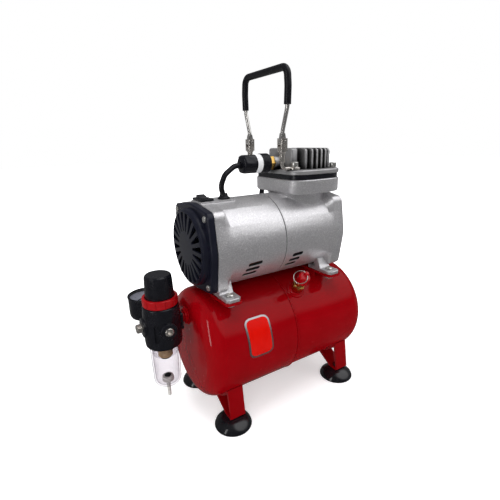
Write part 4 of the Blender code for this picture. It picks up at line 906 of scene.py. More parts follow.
part(right, "tank_right", "red", (0, 0, TANK_Z))

# nipple welded into the left end, the regulator hangs on it
nipple = turned([(4.0, -123.2), (4.0, -112.5), (7.0, -112.5), (7.0, -116.3), (9.6, -116.3),
                 (9.6, -119.4), (8.8, -120.2), (6.6, -120.2), (6.6, -123.2)], 32, **ON_PORT)
part(nipple, "tank_nipple", "red", (-116, 0, PORT_Z))

# drain screw with a finger bar under the tank
drain = turned([(0, 16.0), (5.6, 16.0), (6.2, 16.6), (6.2, 20.4), (5.6, 21.0), (4.0, 21.0),
                (4.0, 29.0), (3.2, 30.0), (0, 30.0)], 24, **ON_DRAIN)
add(drain, prism(rounded_rect(28.5, 31.5, -7.5, 7.5, 1.4, 4), 11.5, 17.0))
part(drain, "drain_screw", "brass", (30, 0, 20))


# ==== legs, feet and saddles ====
def leg_bracket(name, x, foot_x, tank_radius):
    """Pressed cradle under the tank, open between its skin and its two outer legs."""
    radius = tank_radius + GAP
    thick = 2.5
    floor_z = 12.0
    belly = 19.0             # half width of the part that follows the tank

    def under(y):
        return TANK_Z - math.sqrt((radius + thick) ** 2 - y * y)
    reach = math.degrees(math.asin(53.5 / radius))
    top = arc(0, TANK_Z, radius, -90 - reach, -90 + reach, 28)
    low = [(59.0, floor_z + 1.2), (57.8, floor_z), (44.6, floor_z)]
    n = 2 * steps(5)
    middle = [belly - 2 * belly * k / n for k in range(n + 1)]
    outline = top + low + [(y, under(y)) for y in middle] + [(-y, z) for y, z in low[::-1]]
    bracket = prism_x(outline, x - LEG_W / 2, x + LEG_W / 2)
    inner, outer = 23.5, 51.0
    n = steps(10)
    across = [inner + (outer - inner) * k / n for k in range(n + 1)]
    hole = [(y, under(y)) for y in across]
    hole += [(56.3, floor_z + thick + 1.0), (55.9, floor_z + thick), (45.9, floor_z + thick)]
    for side in SIDES:
        cut(bracket, prism_x([(side * y, z) for y, z in hole], x - 15, x + 15))
    for side in SIDES:
        cut(bracket, drum(3.4, 8, 17, 20, at=(foot_x, side * FOOT_Y, 0)))
    part(bracket, name, "red", (x, 0, 30))


leg_bracket("leg_bracket_left", LEG_X[0], FOOT_X[0], TANK_LEFT_R)
leg_bracket("leg_bracket_right", LEG_X[1], FOOT_X[1], TANK_R)

FOOT_PROFILE = [
    (0, 4.5), (9.5, 3.4), (18.0, 0.0), (22.4, 0.0), (22.8, 0.8), (21.6, 4.0), (18.4, 7.2),
    (13.6, 10.2), (8.6, 11.7), (3.0, 11.7), (3.0, 14.8), (4.3, 14.8), (4.3, 17.2),
    (3.4, 18.2), (0, 18.2)]
for corner, end, side in CORNERS:
    place = (FOOT_X[end], side * FOOT_Y, 0)
    part(turned(FOOT_PROFILE, 40, at=place), "foot_" + corner, "foot", place, 50)


def bolt_hole(x, side, z0, z1):
    return drum(3.4, z0, z1, 20, at=(x, side * BOLT_Y, 0))


def saddle(name, x, tank_radius):
    """Flat plate lying on the crown of the tank, stiffened by two short webs."""
    plate = box(x - 8.0, x + 8.0, -30.0, 30.0, 150.0, 162.2)
    cut(plate, box(x - 6.2, x + 6.2, -40, 40, 140, 161.6))
    add(plate, prism(rounded_rect(x - 10.6, x + 10.6, -61.9, 61.9, 4.5, 5), 161.6, 164.0))
    cut(plate, drum(tank_radius + GAP, x - 20, x + 20, 80, **ON_TANK))
    for side in SIDES:
        cut(plate, bolt_hole(x, side, 158, 168))
    part(plate, name, "red", (x, 0, 160))


saddle("saddle_left", BOLT_X[0], TANK_LEFT_R)
saddle("saddle_right", BOLT_X[1], TANK_R)


# ==== motor casing ====
def casing_foot(x, side):
    """Cast leg and bolt pad under the casing."""
    pad = [(x - 9.0, side * 20.0), (x + 9.0, side * 20.0), (x + 9.0, side * 57.4),
           (x + 5.8, side * 60.6), (x - 5.8, side * 60.6), (x - 9.0, side * 57.4)]
    rim = [(x + (px - x) * 0.95, side * 42 + (py - side * 42) * 0.975) for px, py in pad]
    foot = loft([at_z(pad, 164.3), at_z(pad, 167.9), at_z(rim, 168.4)])
    stations = (             # z, half width along X, outer face from the middle
        (167.6, 8.8, 43.2), (168.5, 8.7, 42.7), (169.4, 8.6, 41.9), (176.0, 8.5, 39.2),
        (182.0, 8.5, 36.7), (187.0, 8.5, 35.9), (192.0, 8.5, 35.4))
    rings = []
    for z, half, outer in stations:
        outline = rounded_rect(x - half, x + half, outer - 11.0, outer, 0.9, 4)
        rings.append([(px, side * py, z) for px, py in outline])
    add(foot, loft(rings))
    return cut(foot, drum(5.3, 168.25, 172.0, 48, at=(x, side * BOLT_Y, 0)))


def louvres(first_x, pitch, length):
    """Slanted vent slots through both sides of the casing, lower ones further left."""
    lean = math.radians(3.0)
    height = 5.0
    outline = rounded_rect(-length / 2, length / 2, -height / 2, height / 2,
                           height / 2 - 0.05, 3)
    slots = []
    for side in SIDES:
        for i, degrees in enumerate((21.0, 29.5, 38.0)):     # below the horizontal
            a = math.radians(degrees)
            out = Vector((0, side * math.cos(a), -math.sin(a)))
            rise = Vector((0, side * math.sin(a), math.cos(a)))
            along = Vector((math.cos(lean), 0, 0)) + rise * math.sin(lean)
            across = rise * math.cos(lean) - Vector((1, 0, 0)) * math.sin(lean)
            centre = Vector((first_x - pitch * i, 0, MOTOR_Z))
            slots.append(loft([[centre + out * distance + along * x + across * y
                                for x, y in outline] for distance in (40.0, 60.0)]))
    return joined(slots)


CASING_N = segments8(150)
LUGGED = casing_outline(MOTOR_R, 7.6, CASING_N)
ROUND = circle(MOTOR_R, CASING_N)
ROUND_RIM = scaled(ROUND, 0.985)

# left half with the four lugs, a flat for the switch, and feet
housing = loft([at_x(LUGGED, MOTOR_X[0]), at_x(LUGGED, -82.0), at_x(ROUND, -75.0),
                at_x(ROUND, SEAM_X - 0.9), at_x(ROUND_RIM, SEAM_X - GAP / 2)])
add(housing, casing_foot(BOLT_X[0], -1), casing_foot(BOLT_X[0], 1),
    box(-93.6, -51.0, -13.6, 13.6, 255.0, 267.0))
cut(housing, drum(MOTOR_R - MOTOR_WALL, -100, -86, 64, **ON_MOTOR),
    drum(MOTOR_R - MOTOR_WALL, -80, 0, 64, **ON_MOTOR), drum(11.3, -90, -75, 32, **ON_MOTOR))
windows = []                 # air windows in the bearing wall
for k in range(6):
    start, end = 60.0 * k + 8, 60.0 * k + 52
    outline = arc(0, 0, 42.0, start, end, 6) + arc(0, 0, 18.0, end - 5, start + 5, 4)
    windows.append(prism_x(outline, -90, -76, MOTOR_Z))
cut(housing, joined(windows))
for side in SIDES:
    cut(housing, bolt_hole(BOLT_X[0], side, 160, 175))
cut(housing, box(ROCKER_X - 6.5, ROCKER_X + 6.5, ROCKER_Y - 10.0, ROCKER_Y + 10.0, 257, 275))
cut(housing, louvres(-46.5, 2.3, 19.0))
part(housing, "motor_housing", "silver", (0, 0, MOTOR_Z), 30)

DECK_X, DECK_LEFT = 48.6, 10.6           # head joint: centre and flat left side
DECK_HALF_X, DECK_HALF_Y = 40.6, 48.4
DECK_POWER = 4.0                         # squareness of the outline
DECK_N = segments8(88)
NECK_R = 35.6


def deck_ring(inset, z):
    """Head joint outline, a square with swelling sides."""
    ring = []
    for c, s in circle(1.0, DECK_N):
        r = (abs(c / (DECK_HALF_X - inset)) ** DECK_POWER
             + abs(s / (DECK_HALF_Y - inset)) ** DECK_POWER) ** (-1.0 / DECK_POWER)
        ring.append((max(DECK_X + r * c, DECK_LEFT + inset), r * s, z))
    return ring


def neck_ring(radius, z):
    return at_z(circle(radius, DECK_N, DECK_X - 0.8), z)


def head_bolt_holes(z0, z1):
    return [drum(3.4, z0, z1, 16, at=(x, side * HEAD_BOLT_Y, 0))
            for x in HEAD_BOLT_X for side in SIDES]


# crankcase half with the cylinder deck
crankcase = loft([at_x(ROUND_RIM, SEAM_X + GAP / 2), at_x(ROUND, SEAM_X + 0.9),
                  at_x(ROUND, 66.0), at_x(LUGGED, 72.0), at_x(LUGGED, MOTOR_X[1])])
deck = ((3.4, 268.0), (1.2, 268.5), (0.35, 269.4), (0.0, 270.8), (0.0, 284.2),
        (0.8, 285.0))                    # inset, z
neck = loft([neck_ring(NECK_R, 230.0), neck_ring(NECK_R, 264.8), neck_ring(NECK_R + 0.9, 267.2)]
            + [deck_ring(inset, z) for inset, z in deck])
add(crankcase, neck, casing_foot(BOLT_X[1], -1), casing_foot(BOLT_X[1], 1))
cut(crankcase, drum(MOTOR_R - MOTOR_WALL, -10, 18, 64, **ON_MOTOR),
    drum(46.0, 26, 90, 64, **ON_MOTOR), drum(11.3, 10, 30, 32, **ON_MOTOR),
    drum(24.3, 220, 290, 64, **ON_CYLINDER))
for side in SIDES:
    cut(crankcase, bolt_hole(BOLT_X[1], side, 160, 175))
    for x in HEAD_BOLT_X:
        cut(crankcase, drum(3.3, 274, 290, 16, at=(x, side * HEAD_BOLT_Y, 0)))
cut(crankcase, louvres(14.5, 3.0, 16.5))
part(crankcase, "crankcase", "silver", (0, 0, MOTOR_Z), 30)

# right end cover
outline = casing_outline(MOTOR_R - 0.4, 7.2, CASING_N)
cover = loft([at_x(outline, 84.3), at_x(outline, 87.2), at_x(scaled(outline, 0.97), 88.2)])
add(cover, turned([(0, 86.0), (36.0, 86.0), (36.0, 89.6), (34.4, 91.0), (0, 91.0)], 48,
                  **ON_MOTOR))
part(cover, "end_cover", "silver", (86, 0, MOTOR_Z), 30)

# fan cover on the left: lugged plate, round dome with radial slots
outline = casing_outline(MOTOR_R - 1.2, 7.2, CASING_N)
cover = loft([at_x(outline, MOTOR_X[0] - GAP), at_x(outline, -100.6),
              at_x(scaled(outline, 0.975), -101.8)])
add(cover, turned([(0, -110.0), (17.0, -110.0), (36.0, -109.4), (40.8, -109.0),
                   (43.4, -107.4), (44.4, -105.0), (44.6, -99.0), (0, -99.0)], 72, **ON_MOTOR))
cut(cover, turned([(0, -107.2), (38.5, -106.9), (41.2, -105.6), (41.8, -103.0),
                   (41.8, -90.0), (0, -90.0)], 64, **ON_MOTOR))
SLOT = [(19.3, -1.0), (28.0, -2.2), (39.6, -3.7), (40.3, -2.6),      # radius, half width
        (40.3, 2.6), (39.6, 3.7), (28.0, 2.2), (19.3, 1.0)]
SLOTS = 20
turns = [2 * math.pi * (k + 0.5) / SLOTS for k in range(SLOTS)]
cut(cover, joined([prism_x(rotated(SLOT, t), -114.0, -104.0, MOTOR_Z) for t in turns]))
part(cover, "fan_cover", "cover", (-98, 0, MOTOR_Z), 30)

# ==== electric motor inside ====
stator = turned([
    (27.0, -55.0), (27.0, -13.0), (31.0, -13.0), (31.0, -7.0), (40.0, -7.0), (41.5, -9.0),
    (41.5, -13.0), (47.2, -13.0), (47.2, -55.0), (41.5, -55.0), (41.5, -60.0), (40.0, -62.0),
    (31.0, -62.0), (31.0, -55.0)], 64, **ON_MOTOR)
part(stator, "stator", "copper", (0, 0, MOTOR_Z))
rotor = turned([
    (0, -99.0), (3.6, -99.0), (4.0, -98.4), (4.0, -64.0), (7.0, -64.0), (7.0, -57.0),
    (26.4, -57.0), (26.4, -11.0), (7.0, -11.0), (7.0, 10.0), (4.0, 10.0), (4.0, 37.4),
    (3.6, 38.0), (0, 38.0)], 40, **ON_MOTOR)
part(rotor, "rotor_shaft", "lamination", (0, 0, MOTOR_Z))

# axial fan, its blades twisted less towards the tip
fan = turned([(4.3, -103.0), (4.3, -89.0), (10.0, -89.0), (11.5, -90.5), (11.5, -101.0),
              (9.0, -103.0)], 28, **ON_MOTOR)
BLADES = 7
for k in range(BLADES):
    a = 2 * math.pi * k / BLADES
    rings = []
    for r in (10.0, 20.0, 30.0, 38.5):
        twist = math.radians(52 - 0.55 * r)
        half = 3.4 + 0.16 * r
        ring = []
        for chord, thick in ((-half, -0.7), (half, -0.7), (half, 0.7), (-half, 0.7)):
            x = -96.0 + chord * math.sin(twist) * 0.62 + thick * math.cos(twist)
            off = chord * math.cos(twist) - thick * math.sin(twist)
            ring.append((x, r * math.cos(a) - off * math.sin(a),
                         MOTOR_Z + r * math.sin(a) + off * math.cos(a)))
        rings.append(ring)
    add(fan, loft(rings))
part(fan, "cooling_fan", "black", (-96, 0, MOTOR_Z), 30)

# crank disc with counterweight and pin stub
crank = turned([(4.3, 28.0), (4.3, 38.8), (9.5, 38.8), (9.5, 28.8), (8.7, 28.0)], 32,
               **ON_MOTOR)
web = prism_x(arc(0, THROW, 7.5, 10, 170, 10) + arc(0, 0, 19.0, 205, 335, 14), 38.4, 42.0,
              MOTOR_Z)
add(web, drum(5.0, 41.5, 46.2, 24, ALONG_X, (0, 0, PIN_Z), 0.4))
add(crank, web)
part(crank, "crank_disc", "lamination", (33, 0, MOTOR_Z))

BEARING_PROFILE = [
    (4.3, 0.0), (4.3, 6.8), (6.6, 6.8), (6.9, 6.0), (8.8, 6.0), (9.1, 6.8), (10.6, 6.8),
    (11.0, 6.4), (11.0, 0.4), (10.6, 0.0), (9.1, 0.0), (8.8, 0.8), (6.9, 0.8), (6.6, 0.0)]
for name, x in (("bearing_front", -86.4), ("bearing_rear", 18.6)):
    bearing = turned([(r, x + d) for r, d in BEARING_PROFILE], 32, **ON_MOTOR)
    part(bearing, name, "steel", (x + 3.4, 0, MOTOR_Z))

# ==== pump ====
rod = turned([(5.4, 46.8), (5.4, 55.6), (11.6, 55.6), (12.2, 55.0), (12.2, 47.4),
              (11.6, 46.8)], 32, ALONG_X, (0, 0, PIN_Z))
SHANK = (                    # x from, x to, half width along Y, z
    (48.8, 53.8, 4.6, PIN_Z + 9), (49.1, 54.1, 4.0, 262.0), (47.1, 56.1, 6.0, 276.5))
shank = loft([[(x0, -half, z), (x1, -half, z), (x1, half, z), (x0, half, z)]
              for x0, x1, half, z in SHANK])
piston = turned([
    (0, 275.0), (19.6, 275.0), (20.4, 275.8), (20.4, 277.8), (17.6, 277.8), (17.6, 280.4),
    (20.4, 280.4), (20.4, 282.0), (19.8, 282.6), (0, 282.6)], 64, **ON_CYLINDER)
add(rod, shank, piston)
part(rod, "connecting_rod", "machined", (CYLINDER_X, 0, PIN_Z))
seal = turned([(17.9, 278.1), (21.2, 278.1), (21.2, 280.1), (17.9, 280.1)], 64,
              **ON_CYLINDER)
part(seal, "piston_seal", "ptfe", (CYLINDER_X, 0, 279))
liner = turned([(21.5, 252.0), (21.5, 284.8), (24.0, 284.8), (24.0, 252.6), (23.4, 252.0)],
               64, **ON_CYLINDER)
part(liner, "cylinder_sleeve", "machined", (CYLINDER_X, 0, 268))

valve_plate = loft([deck_ring(1.4, z) for z in (285.3, 290.7)])
ports = [drum(3.0, 280, 295, 16, at=(x, 0, 0)) for x in (CYLINDER_X - 9, CYLINDER_X + 9)]
cut(valve_plate, joined(head_bolt_holes(280, 295) + ports))
part(valve_plate, "valve_plate", "black", (CYLINDER_X, 0, 288))

# finned head: base plate, solid block on the left, fins and a spine joining them
head = loft([deck_ring(inset, z) for inset, z in
             ((0.3, 291.0), (0.0, 291.5), (0.0, 295.2), (0.8, 296.0))])
block = []
for z, inset in ((295.0, 0.0), (318.4, 0.0), (320.0, 0.7), (320.6, 1.8)):
    block.append(at_z(rounded_rect(21.6 + inset, 31.6 - inset, -23.8 + inset, 23.8 - inset,
                                   2.6, 4), z))
add(head, loft(block))
FIN_X = [38.0 + 7.1 * k for k in range(7)]
FIN_HALF_Y = (31.0, 34.0, 34.6, 34.6, 34.0, 31.0, 24.6)
for i, (x, half) in enumerate(zip(FIN_X, FIN_HALF_Y)):
    thick = 1.5 if i == 0 else 1.25
    top = 319.8 if i < 6 else 318.4
    rear = [(half - 3.0, top), (half - 0.9, top - 0.9), (half, top - 3.0), (half, 295.0)]
    add(head, prism_x([(-y, z) for y, z in rear[::-1]] + rear, x - thick, x + thick))
add(head, prism_x([(-7.0, 295.0), (-7.0, 309.0), (7.0, 309.0), (7.0, 295.0)], 30.0, FIN_X[-1]))
cut(head, joined(head_bolt_holes(285, 300) + [drum(5.0, 18, 29, 28, **ON_SWITCH)]))
part(head, "cylinder_head", "cast", (CYLINDER_X, 0, 296), 30)

for corner, end, side in CORNERS:
    z = (299.6, 296.3)[end]  # the left ones sit on the eyes of the handle hooks
    place = (HEAD_BOLT_X[end], side * HEAD_BOLT_Y, 0)
    bolt = turned([(0, 275.0), (2.6, 275.0), (3.0, 275.4), (3.0, z), (4.4, z), (4.4, z + 5.2),
                   (3.9, z + 5.8), (0, z + 5.8)], 40, at=place, fillet=0.35)
    cut(bolt, hexbar(4.6, z + 2.6, z + 8.0, at=place, chamfer=0.0, phase=0.3))
    part(bolt, "head_bolt_" + corner, "zinc", (place[0], place[1], 296))

for corner, end, side in CORNERS:
    place = (BOLT_X[end], side * BOLT_Y, 0)
    bolt = drum(3.0, 155.2, 169.4, 28, at=place, chamfer=0.4)
    add(bolt, turned([(0, 168.6), (4.8, 168.6), (4.8, 169.6), (4.2, 170.5), (2.6, 171.0),
                      (0, 171.0)], 48, at=place, fillet=0.35),
        hexbar(9.6, 156.2, 161.2, at=place, chamfer=0.6))
    cut(bolt, hexbar(3.6, 169.7, 175.0, at=place, chamfer=0.0, phase=0.2))
    part(bolt, "motor_bolt_" + corner, "zinc", (place[0], place[1], 166))

# ==== pressure switch on the head ====
rings = []                   # six-lobed cap
for x, r in ((-12.7, 10.9), (-26.6, 10.9), (-28.9, 10.0), (-30.0, 8.4)):
    ring = []
    for k in range(segments(48)):
        t = 2 * math.pi * k / segments(48)
        lobed = r * (1.0 + 0.035 * math.cos(6 * t))
        ring.append((SWITCH_X + x, lobed * math.cos(t), SWITCH_Z + lobed * math.sin(t)))
    rings.append(ring)
cap = loft(rings)
cut(cap, drum(8.8, SWITCH_X - 27.0, SWITCH_X - 10.0, 32, **ON_SWITCH),
    drum(3.9, SWITCH_X - 34, SWITCH_X - 24, 24, ALONG_X, (0, 0, SWITCH_Z - 0.8)))
part(cap, "switch_cap", "black", (-26, 0, SWITCH_Z), 40)
profile = [(0, -15.0), (8.2, -15.0), (8.2, -12.4), (10.5, -12.4), (10.5, -4.8), (11.0, -4.4)]
for k in range(5):           # ribs
    x = -4.0 + 2.2 * k
    profile += [(11.6, x), (11.6, x + 1.2), (10.9, x + 1.5), (10.9, x + 1.9)]
profile += [(11.2, 7.0), (0, 7.0)]
switch = turned([(r, x + SWITCH_X) for r, x in profile], 40, **ON_SWITCH)
part(switch, "pressure_switch", "black", (-4, 0, SWITCH_Z), 30)
nut = hexbar(15.6, SWITCH_X + 7.3, SWITCH_X + 14.5, chamfer=0.9, **ON_SWITCH)
part(nut, "switch_nut", "brass", (10, 0, SWITCH_Z), 30)
boss = turned([(0, 10.0), (7.3, 10.0), (7.3, 20.0), (7.6, 21.2), (4.6, 21.2), (4.6, 27.6),
               (0, 27.6)], 44, fillet=0.5, **ON_SWITCH)
detail(boss, "switch_boss", "cast", "cast_head", (10, 0, SWITCH_Z))

path = [(SWITCH_X - 28.0, 0, SWITCH_Z - 0.8), (SWITCH_X - 39.0, -0.6, SWITCH_Z - 1.2),
        (-57.5, -2.8, 294.0), (-63.8, -3.8, 282.0), (-61.0, -3.2, 269.5)]
cable = wire(smooth_path(path, 13.0, 8), 3.1, 20)
add(cable, turned([(0, 267.3), (7.2, 267.3), (7.2, 268.6), (5.0, 270.0), (4.2, 273.4),
                   (0, 273.4)], 28, at=(-60.4, -3.2, 0)))
part(cable, "switch_cable", "rubber", (-60.4, -3.2, 268))


# ==== rocker switch ====
def rocker_box(half_x, half_y, z0, z1):
    return box(ROCKER_X - half_x, ROCKER_X + half_x, ROCKER_Y - half_y, ROCKER_Y + half_y,
               z0, z1)


bezel = prism(rounded_rect(ROCKER_X - 7.8, ROCKER_X + 7.8, ROCKER_Y - 12.6, ROCKER_Y + 12.6,
                           1.5, 3), 267.3, 269.6)
add(bezel, rocker_box(6.2, 9.7, 259.5, 268.5))
cut(bezel, rocker_box(5.2, 8.9, 261.0, 275.0))
part(bezel, "rocker_bezel", "black", (ROCKER_X, ROCKER_Y, 268), 30, edge=0.35)
BUTTON = [(-8.2, 0.6), (-6.9, -3.2), (-3.0, -5.2), (3.0, -5.2), (6.9, -3.2), (8.2, 0.6),
          (8.0, 3.4), (5.2, 3.3), (0.0, 2.3), (-5.2, 3.3), (-8.0, 3.4)]     # y, z
tilted = rotated(BUTTON, math.radians(9.0))
button = prism_x([(ROCKER_Y + y, ROCKER_Z + z) for y, z in tilted],
                 ROCKER_X - 4.9, ROCKER_X + 4.9)
part(button, "rocker_button", "gloss", (ROCKER_X, ROCKER_Y, ROCKER_Z), 30, edge=0.4)


# ==== carrying handle ====
def hook(name, side):
    """Bent wire from an eye under a head bolt up to the hinge clevis."""
    y = side * HANDLE_Y
    base_x, base_y = HEAD_BOLT_X[0], side * HEAD_BOLT_Y
    eye = turned([(3.4, 296.3), (3.4, 299.3), (6.4, 299.3), (6.8, 298.6), (6.8, 297.0),
                  (6.4, 296.3)], 24, at=(base_x, base_y, 0))
    path = [(base_x - 4.5, side * (HEAD_BOLT_Y + 0.2), 298.4),
            (0.6, side * (HEAD_BOLT_Y + 2.3), 298.6), (0.0, y, 318.0)]
    add(eye, wire(smooth_path(path, 6.5, 6), 2.0))
    add(eye, turned([(0, 305.5), (3.2, 305.5), (3.2, 316.0), (4.4, 317.2), (4.4, 320.0),
                     (0, 320.0)], 20, at=(0, y, 0)))
    clevis = prism(rounded_rect(-4.2, 4.2, y - 4.9, y + 4.9, 1.4, 3), 318.0, 332.0)
    cut(clevis, box(-8, 8, y - 2.5, y + 2.5, 322.8, 340.0))
    add(eye, clevis)
    cut(eye, drum(2.2, -10, 10, 16, ALONG_Y, (0, y, HANDLE_Z)))
    part(eye, name, "steel", (base_x, base_y, 297))


hook("hook_front", -1)
hook("hook_rear", 1)

HANDLE_TOP = 403.5
front_half = [(0, -HANDLE_Y, HANDLE_Z + 2), (0, -HANDLE_Y, 339.0), (0, -42.4, 364.0),
              (0, -43.2, 385.0), (0, -41.5, HANDLE_TOP)]
path = smooth_path(front_half + [(x, -y, z) for x, y, z in front_half[::-1]],
                   [20, 20, 20, 9, 9, 20, 20, 20], 6)
handle = wire(path, 2.3)
eye_outline = arc(0, 0, 4.2, 180, 360, 10) + [(2.2, 9.5), (-2.2, 9.5)]      # x, z
for side in SIDES:
    y = side * HANDLE_Y
    add(handle, loft([[(px, y + dy, HANDLE_Z + pz) for px, pz in eye_outline]
                      for dy in (-2.2, 2.2)]))
    add(handle, drum(1.8, -5.9, 5.9, 16, ALONG_Y, (0, y, HANDLE_Z), 0.3))
part(handle, "handle_frame", "wirechrome", (0, 0, HANDLE_Z), 40)
GRIP_Y, GRIP_Z = 42.5, 366.5             # lower ends of the grip
path = ([Vector((0, -GRIP_Y, GRIP_Z))] + [p for p in path if p.z > GRIP_Z]
        + [Vector((0, GRIP_Y, GRIP_Z))])
part(sleeve(path, 3.9, 2.65, 14), "handle_grip", "rubber", (0, 0, HANDLE_Z), 50)

# ==== filter regulator ====
regulator = turned([
    (0, 109.0), (19.6, 109.0), (20.6, 110.2), (21.2, 116.0), (20.9, 148.0), (20.1, 157.0),
    (19.3, 158.0), (14.4, 158.0), (14.4, 163.6), (13.6, 164.0), (11.0, 164.0), (11.0, 171.5),
    (0, 171.5)], 56, **ON_REGULATOR)
OUTLET = (REG_X, 0, PORT_Z)
tank_arm = prism_x(rounded_rect(-12, 12, -11, 11, 3, 4), REG_X + 6, -124.2, PORT_Z)
add(regulator, drum(9.3, -23.4, -5, 32, chamfer=0.7, **ON_SIDE_PORTS),
    drum(10.0, 5, 23.2, 32, chamfer=0.7, **ON_SIDE_PORTS),
    drum(11.0, -22.6, -5, 32, ALONG_X, OUTLET, 0.7), tank_arm)
cut(regulator, drum(17.7, 100, 121, 48, **ON_REGULATOR))
add(regulator, turned([(0, 89.6), (5.6, 89.6), (6.2, 90.2), (6.2, 92.0), (2.9, 92.0),
                       (2.9, 122.0), (0, 122.0)], 24, **ON_REGULATOR))
cut(regulator, drum(6.9, -126, -119, 28, **ON_PORT), drum(5.1, -30, -16, 24, **ON_SIDE_PORTS),
    drum(5.1, 16, 30, 24, **ON_SIDE_PORTS), drum(5.1, -30, -16, 24, ALONG_X, OUTLET))
# upright groove low on the front left
a = math.radians(-126)
out = Vector((math.cos(a), math.sin(a), 0))
across = Vector((-out.y, out.x, 0))
centre = Vector((REG_X, REG_Y, 0))
outline = rounded_rect(-2.6, 2.6, 119.0, 141.0, 2.4, 4)
cut(regulator, loft([[centre + out * distance + across * w + Vector((0, 0, z))
                      for w, z in outline] for distance in (19.4, 25.0)]))
part(regulator, "regulator_body", "black", (REG_X, REG_Y, 133), 30)

lock_ring = turned([(14.8, 158.3), (18.9, 158.3), (19.8, 159.3), (19.8, 167.0), (19.2, 168.0),
                    (16.6, 168.0), (16.6, 164.4), (14.8, 164.4)], 56, **ON_REGULATOR)
cut(lock_ring, joined([drum(1.1, 157, 170, 8, at=(x, y, 0))
                       for x, y in circle(20.3, 12, REG_X, REG_Y)]))
part(lock_ring, "lock_ring", "ringred", (REG_X, REG_Y, 163), 30)


def ribbed(stations):
    """Loft about the regulator axis from (z, radius, depth of the grooves)."""
    rings = []
    for z, r, depth in stations:
        smooth = circle(r, 96, REG_X, REG_Y)
        low = circle(r - depth, 96, REG_X, REG_Y)
        rings.append(at_z([low[k] if k % 4 < 2 else smooth[k] for k in range(96)], z))
    return loft(rings)


knob = ribbed([(164.8, 15.9, 0.0), (165.4, 16.1, 0.35), (188.6, 15.1, 0.35),
               (191.8, 14.7, 0.25), (193.3, 13.4, 0.0)])
cut(knob, drum(11.4, 160, 172.2, 40, **ON_REGULATOR))
part(knob, "regulator_knob", "black", (REG_X, REG_Y, 178), 25)

profile = [(2.7, BOWL_Z), (4.5, BOWL_Z)] + arc(8, BOWL_Z + 8.8, 8, -90, 0, 7)
profile += [(17.3, 107.0), (17.3, 120.4), (15.1, 120.4), (15.1, 107.0)]
profile += arc(7.8, BOWL_Z + 9.0, 6, 0, -90, 7) + [(2.7, BOWL_Z + 3.0)]
part(turned(profile, 48, **ON_REGULATOR), "filter_bowl", "clear", (REG_X, REG_Y, 80))
element = turned([(3.2, 92.3), (3.2, 120.7), (8.4, 120.7), (8.4, 92.9), (7.8, 92.3)], 32,
                 **ON_REGULATOR)
part(element, "filter_element", "tan", (REG_X, REG_Y, 106))

# barbed drain pin with a ribbed nut inside the bowl
pin = turned([
    (0, 36.0), (1.7, 36.0), (2.3, 36.7), (2.3, 38.4), (1.9, 38.8), (1.9, 39.4), (2.3, 39.8),
    (2.3, 41.4), (1.9, 41.8), (1.9, 42.4), (2.3, 42.8), (2.3, 44.4), (1.9, 44.8), (1.9, 45.4),
    (2.3, 45.8), (2.3, BOWL_Z + 3.5), (5.0, BOWL_Z + 3.5), (5.0, BOWL_Z + 8.0),
    (0, BOWL_Z + 8.0)], 40, fillet=0.15, **ON_REGULATOR)
PIN_NUT = (                  # height above the bowl's underside, radius, groove depth
    (3.4, 6.2, 0), (3.8, 6.9, 0), (4.8, 6.9, 0), (5.0, 6.3, 0), (5.4, 6.3, 0),
    (5.6, 6.8, 0.35), (8.2, 6.8, 0.35), (8.9, 6.4, 0), (9.4, 6.2, 0), (9.6, 5.6, 0))
add(pin, ribbed([(BOWL_Z + z, r, depth) for z, r, depth in PIN_NUT]))
part(pin, "bowl_drain_pin", "satin", (REG_X, REG_Y, BOWL_Z))

# threaded outlet on the left
profile = [(1.9, REG_X - 29.0), (4.2, REG_X - 29.0)]
x = REG_X - 28.4
THREADS = 7
pitch = 5.5 / THREADS
for k in range(THREADS):
    profile += [(5.2, x + 0.23 * pitch), (5.2, x + 0.5 * pitch), (4.6, x + 0.83 * pitch)]
    x += pitch
profile += [(4.6, x + 0.4), (4.6, REG_X - 16.2), (1.9, REG_X - 16.2)]
part(turned(profile, 28, **ON_PORT), "outlet_nipple", "steel", (REG_X - 25, 0, PORT_Z), 25)
plug = turned([(0, -16.4), (4.7, -16.4), (4.7, -24.6), (4.2, -25.1), (0, -25.1)], 28,
              **ON_SIDE_PORTS)
cut(plug, hexbar(4.6, -30, -22.4, chamfer=0.0, **ON_SIDE_PORTS))
part(plug, "port_plug", "steel", (REG_X, REG_Y - 20, PORT_Z), 30)

# gauge, dial facing up, stem screwed into the rear port
case = turned([
    (0, 120.0), (16.0, 120.0), (19.2, 121.4), (20.6, 124.0), (21.0, 128.0), (21.0, 146.0),
    (21.6, 147.0), (21.6, 148.8), (20.9, 149.4), (19.7, 149.4), (19.7, 145.0), (0, 145.0)],
    48, **ON_GAUGE)
stem = turned([(0, REG_Y + 16.4), (4.6, REG_Y + 16.4), (4.6, REG_Y + 23.6),
               (5.6, REG_Y + 23.6), (5.6, GAUGE_Y - 15), (0, GAUGE_Y - 15)], 24,
              ALONG_Y, OUTLET)
add(case, stem, hexbar(12.6, REG_Y + 24.2, REG_Y + 31.5, ALONG_Y, OUTLET, 0.6))
part(case, "gauge_case", "black", (GAUGE_X, GAUGE_Y, 135), 30)
part(drum(19.3, 147.5, 148.9, 48, chamfer=0.3, **ON_GAUGE), "gauge_lens", "lens",
     (GAUGE_X, GAUGE_Y, 148))


def dial_frame(degrees):
    """Centre of the dial, direction outward and direction across."""
    a = math.radians(degrees)
    return (Vector((GAUGE_X, GAUGE_Y, 0)), Vector((math.cos(a), math.sin(a), 0)),
            Vector((-math.sin(a), math.cos(a), 0)))


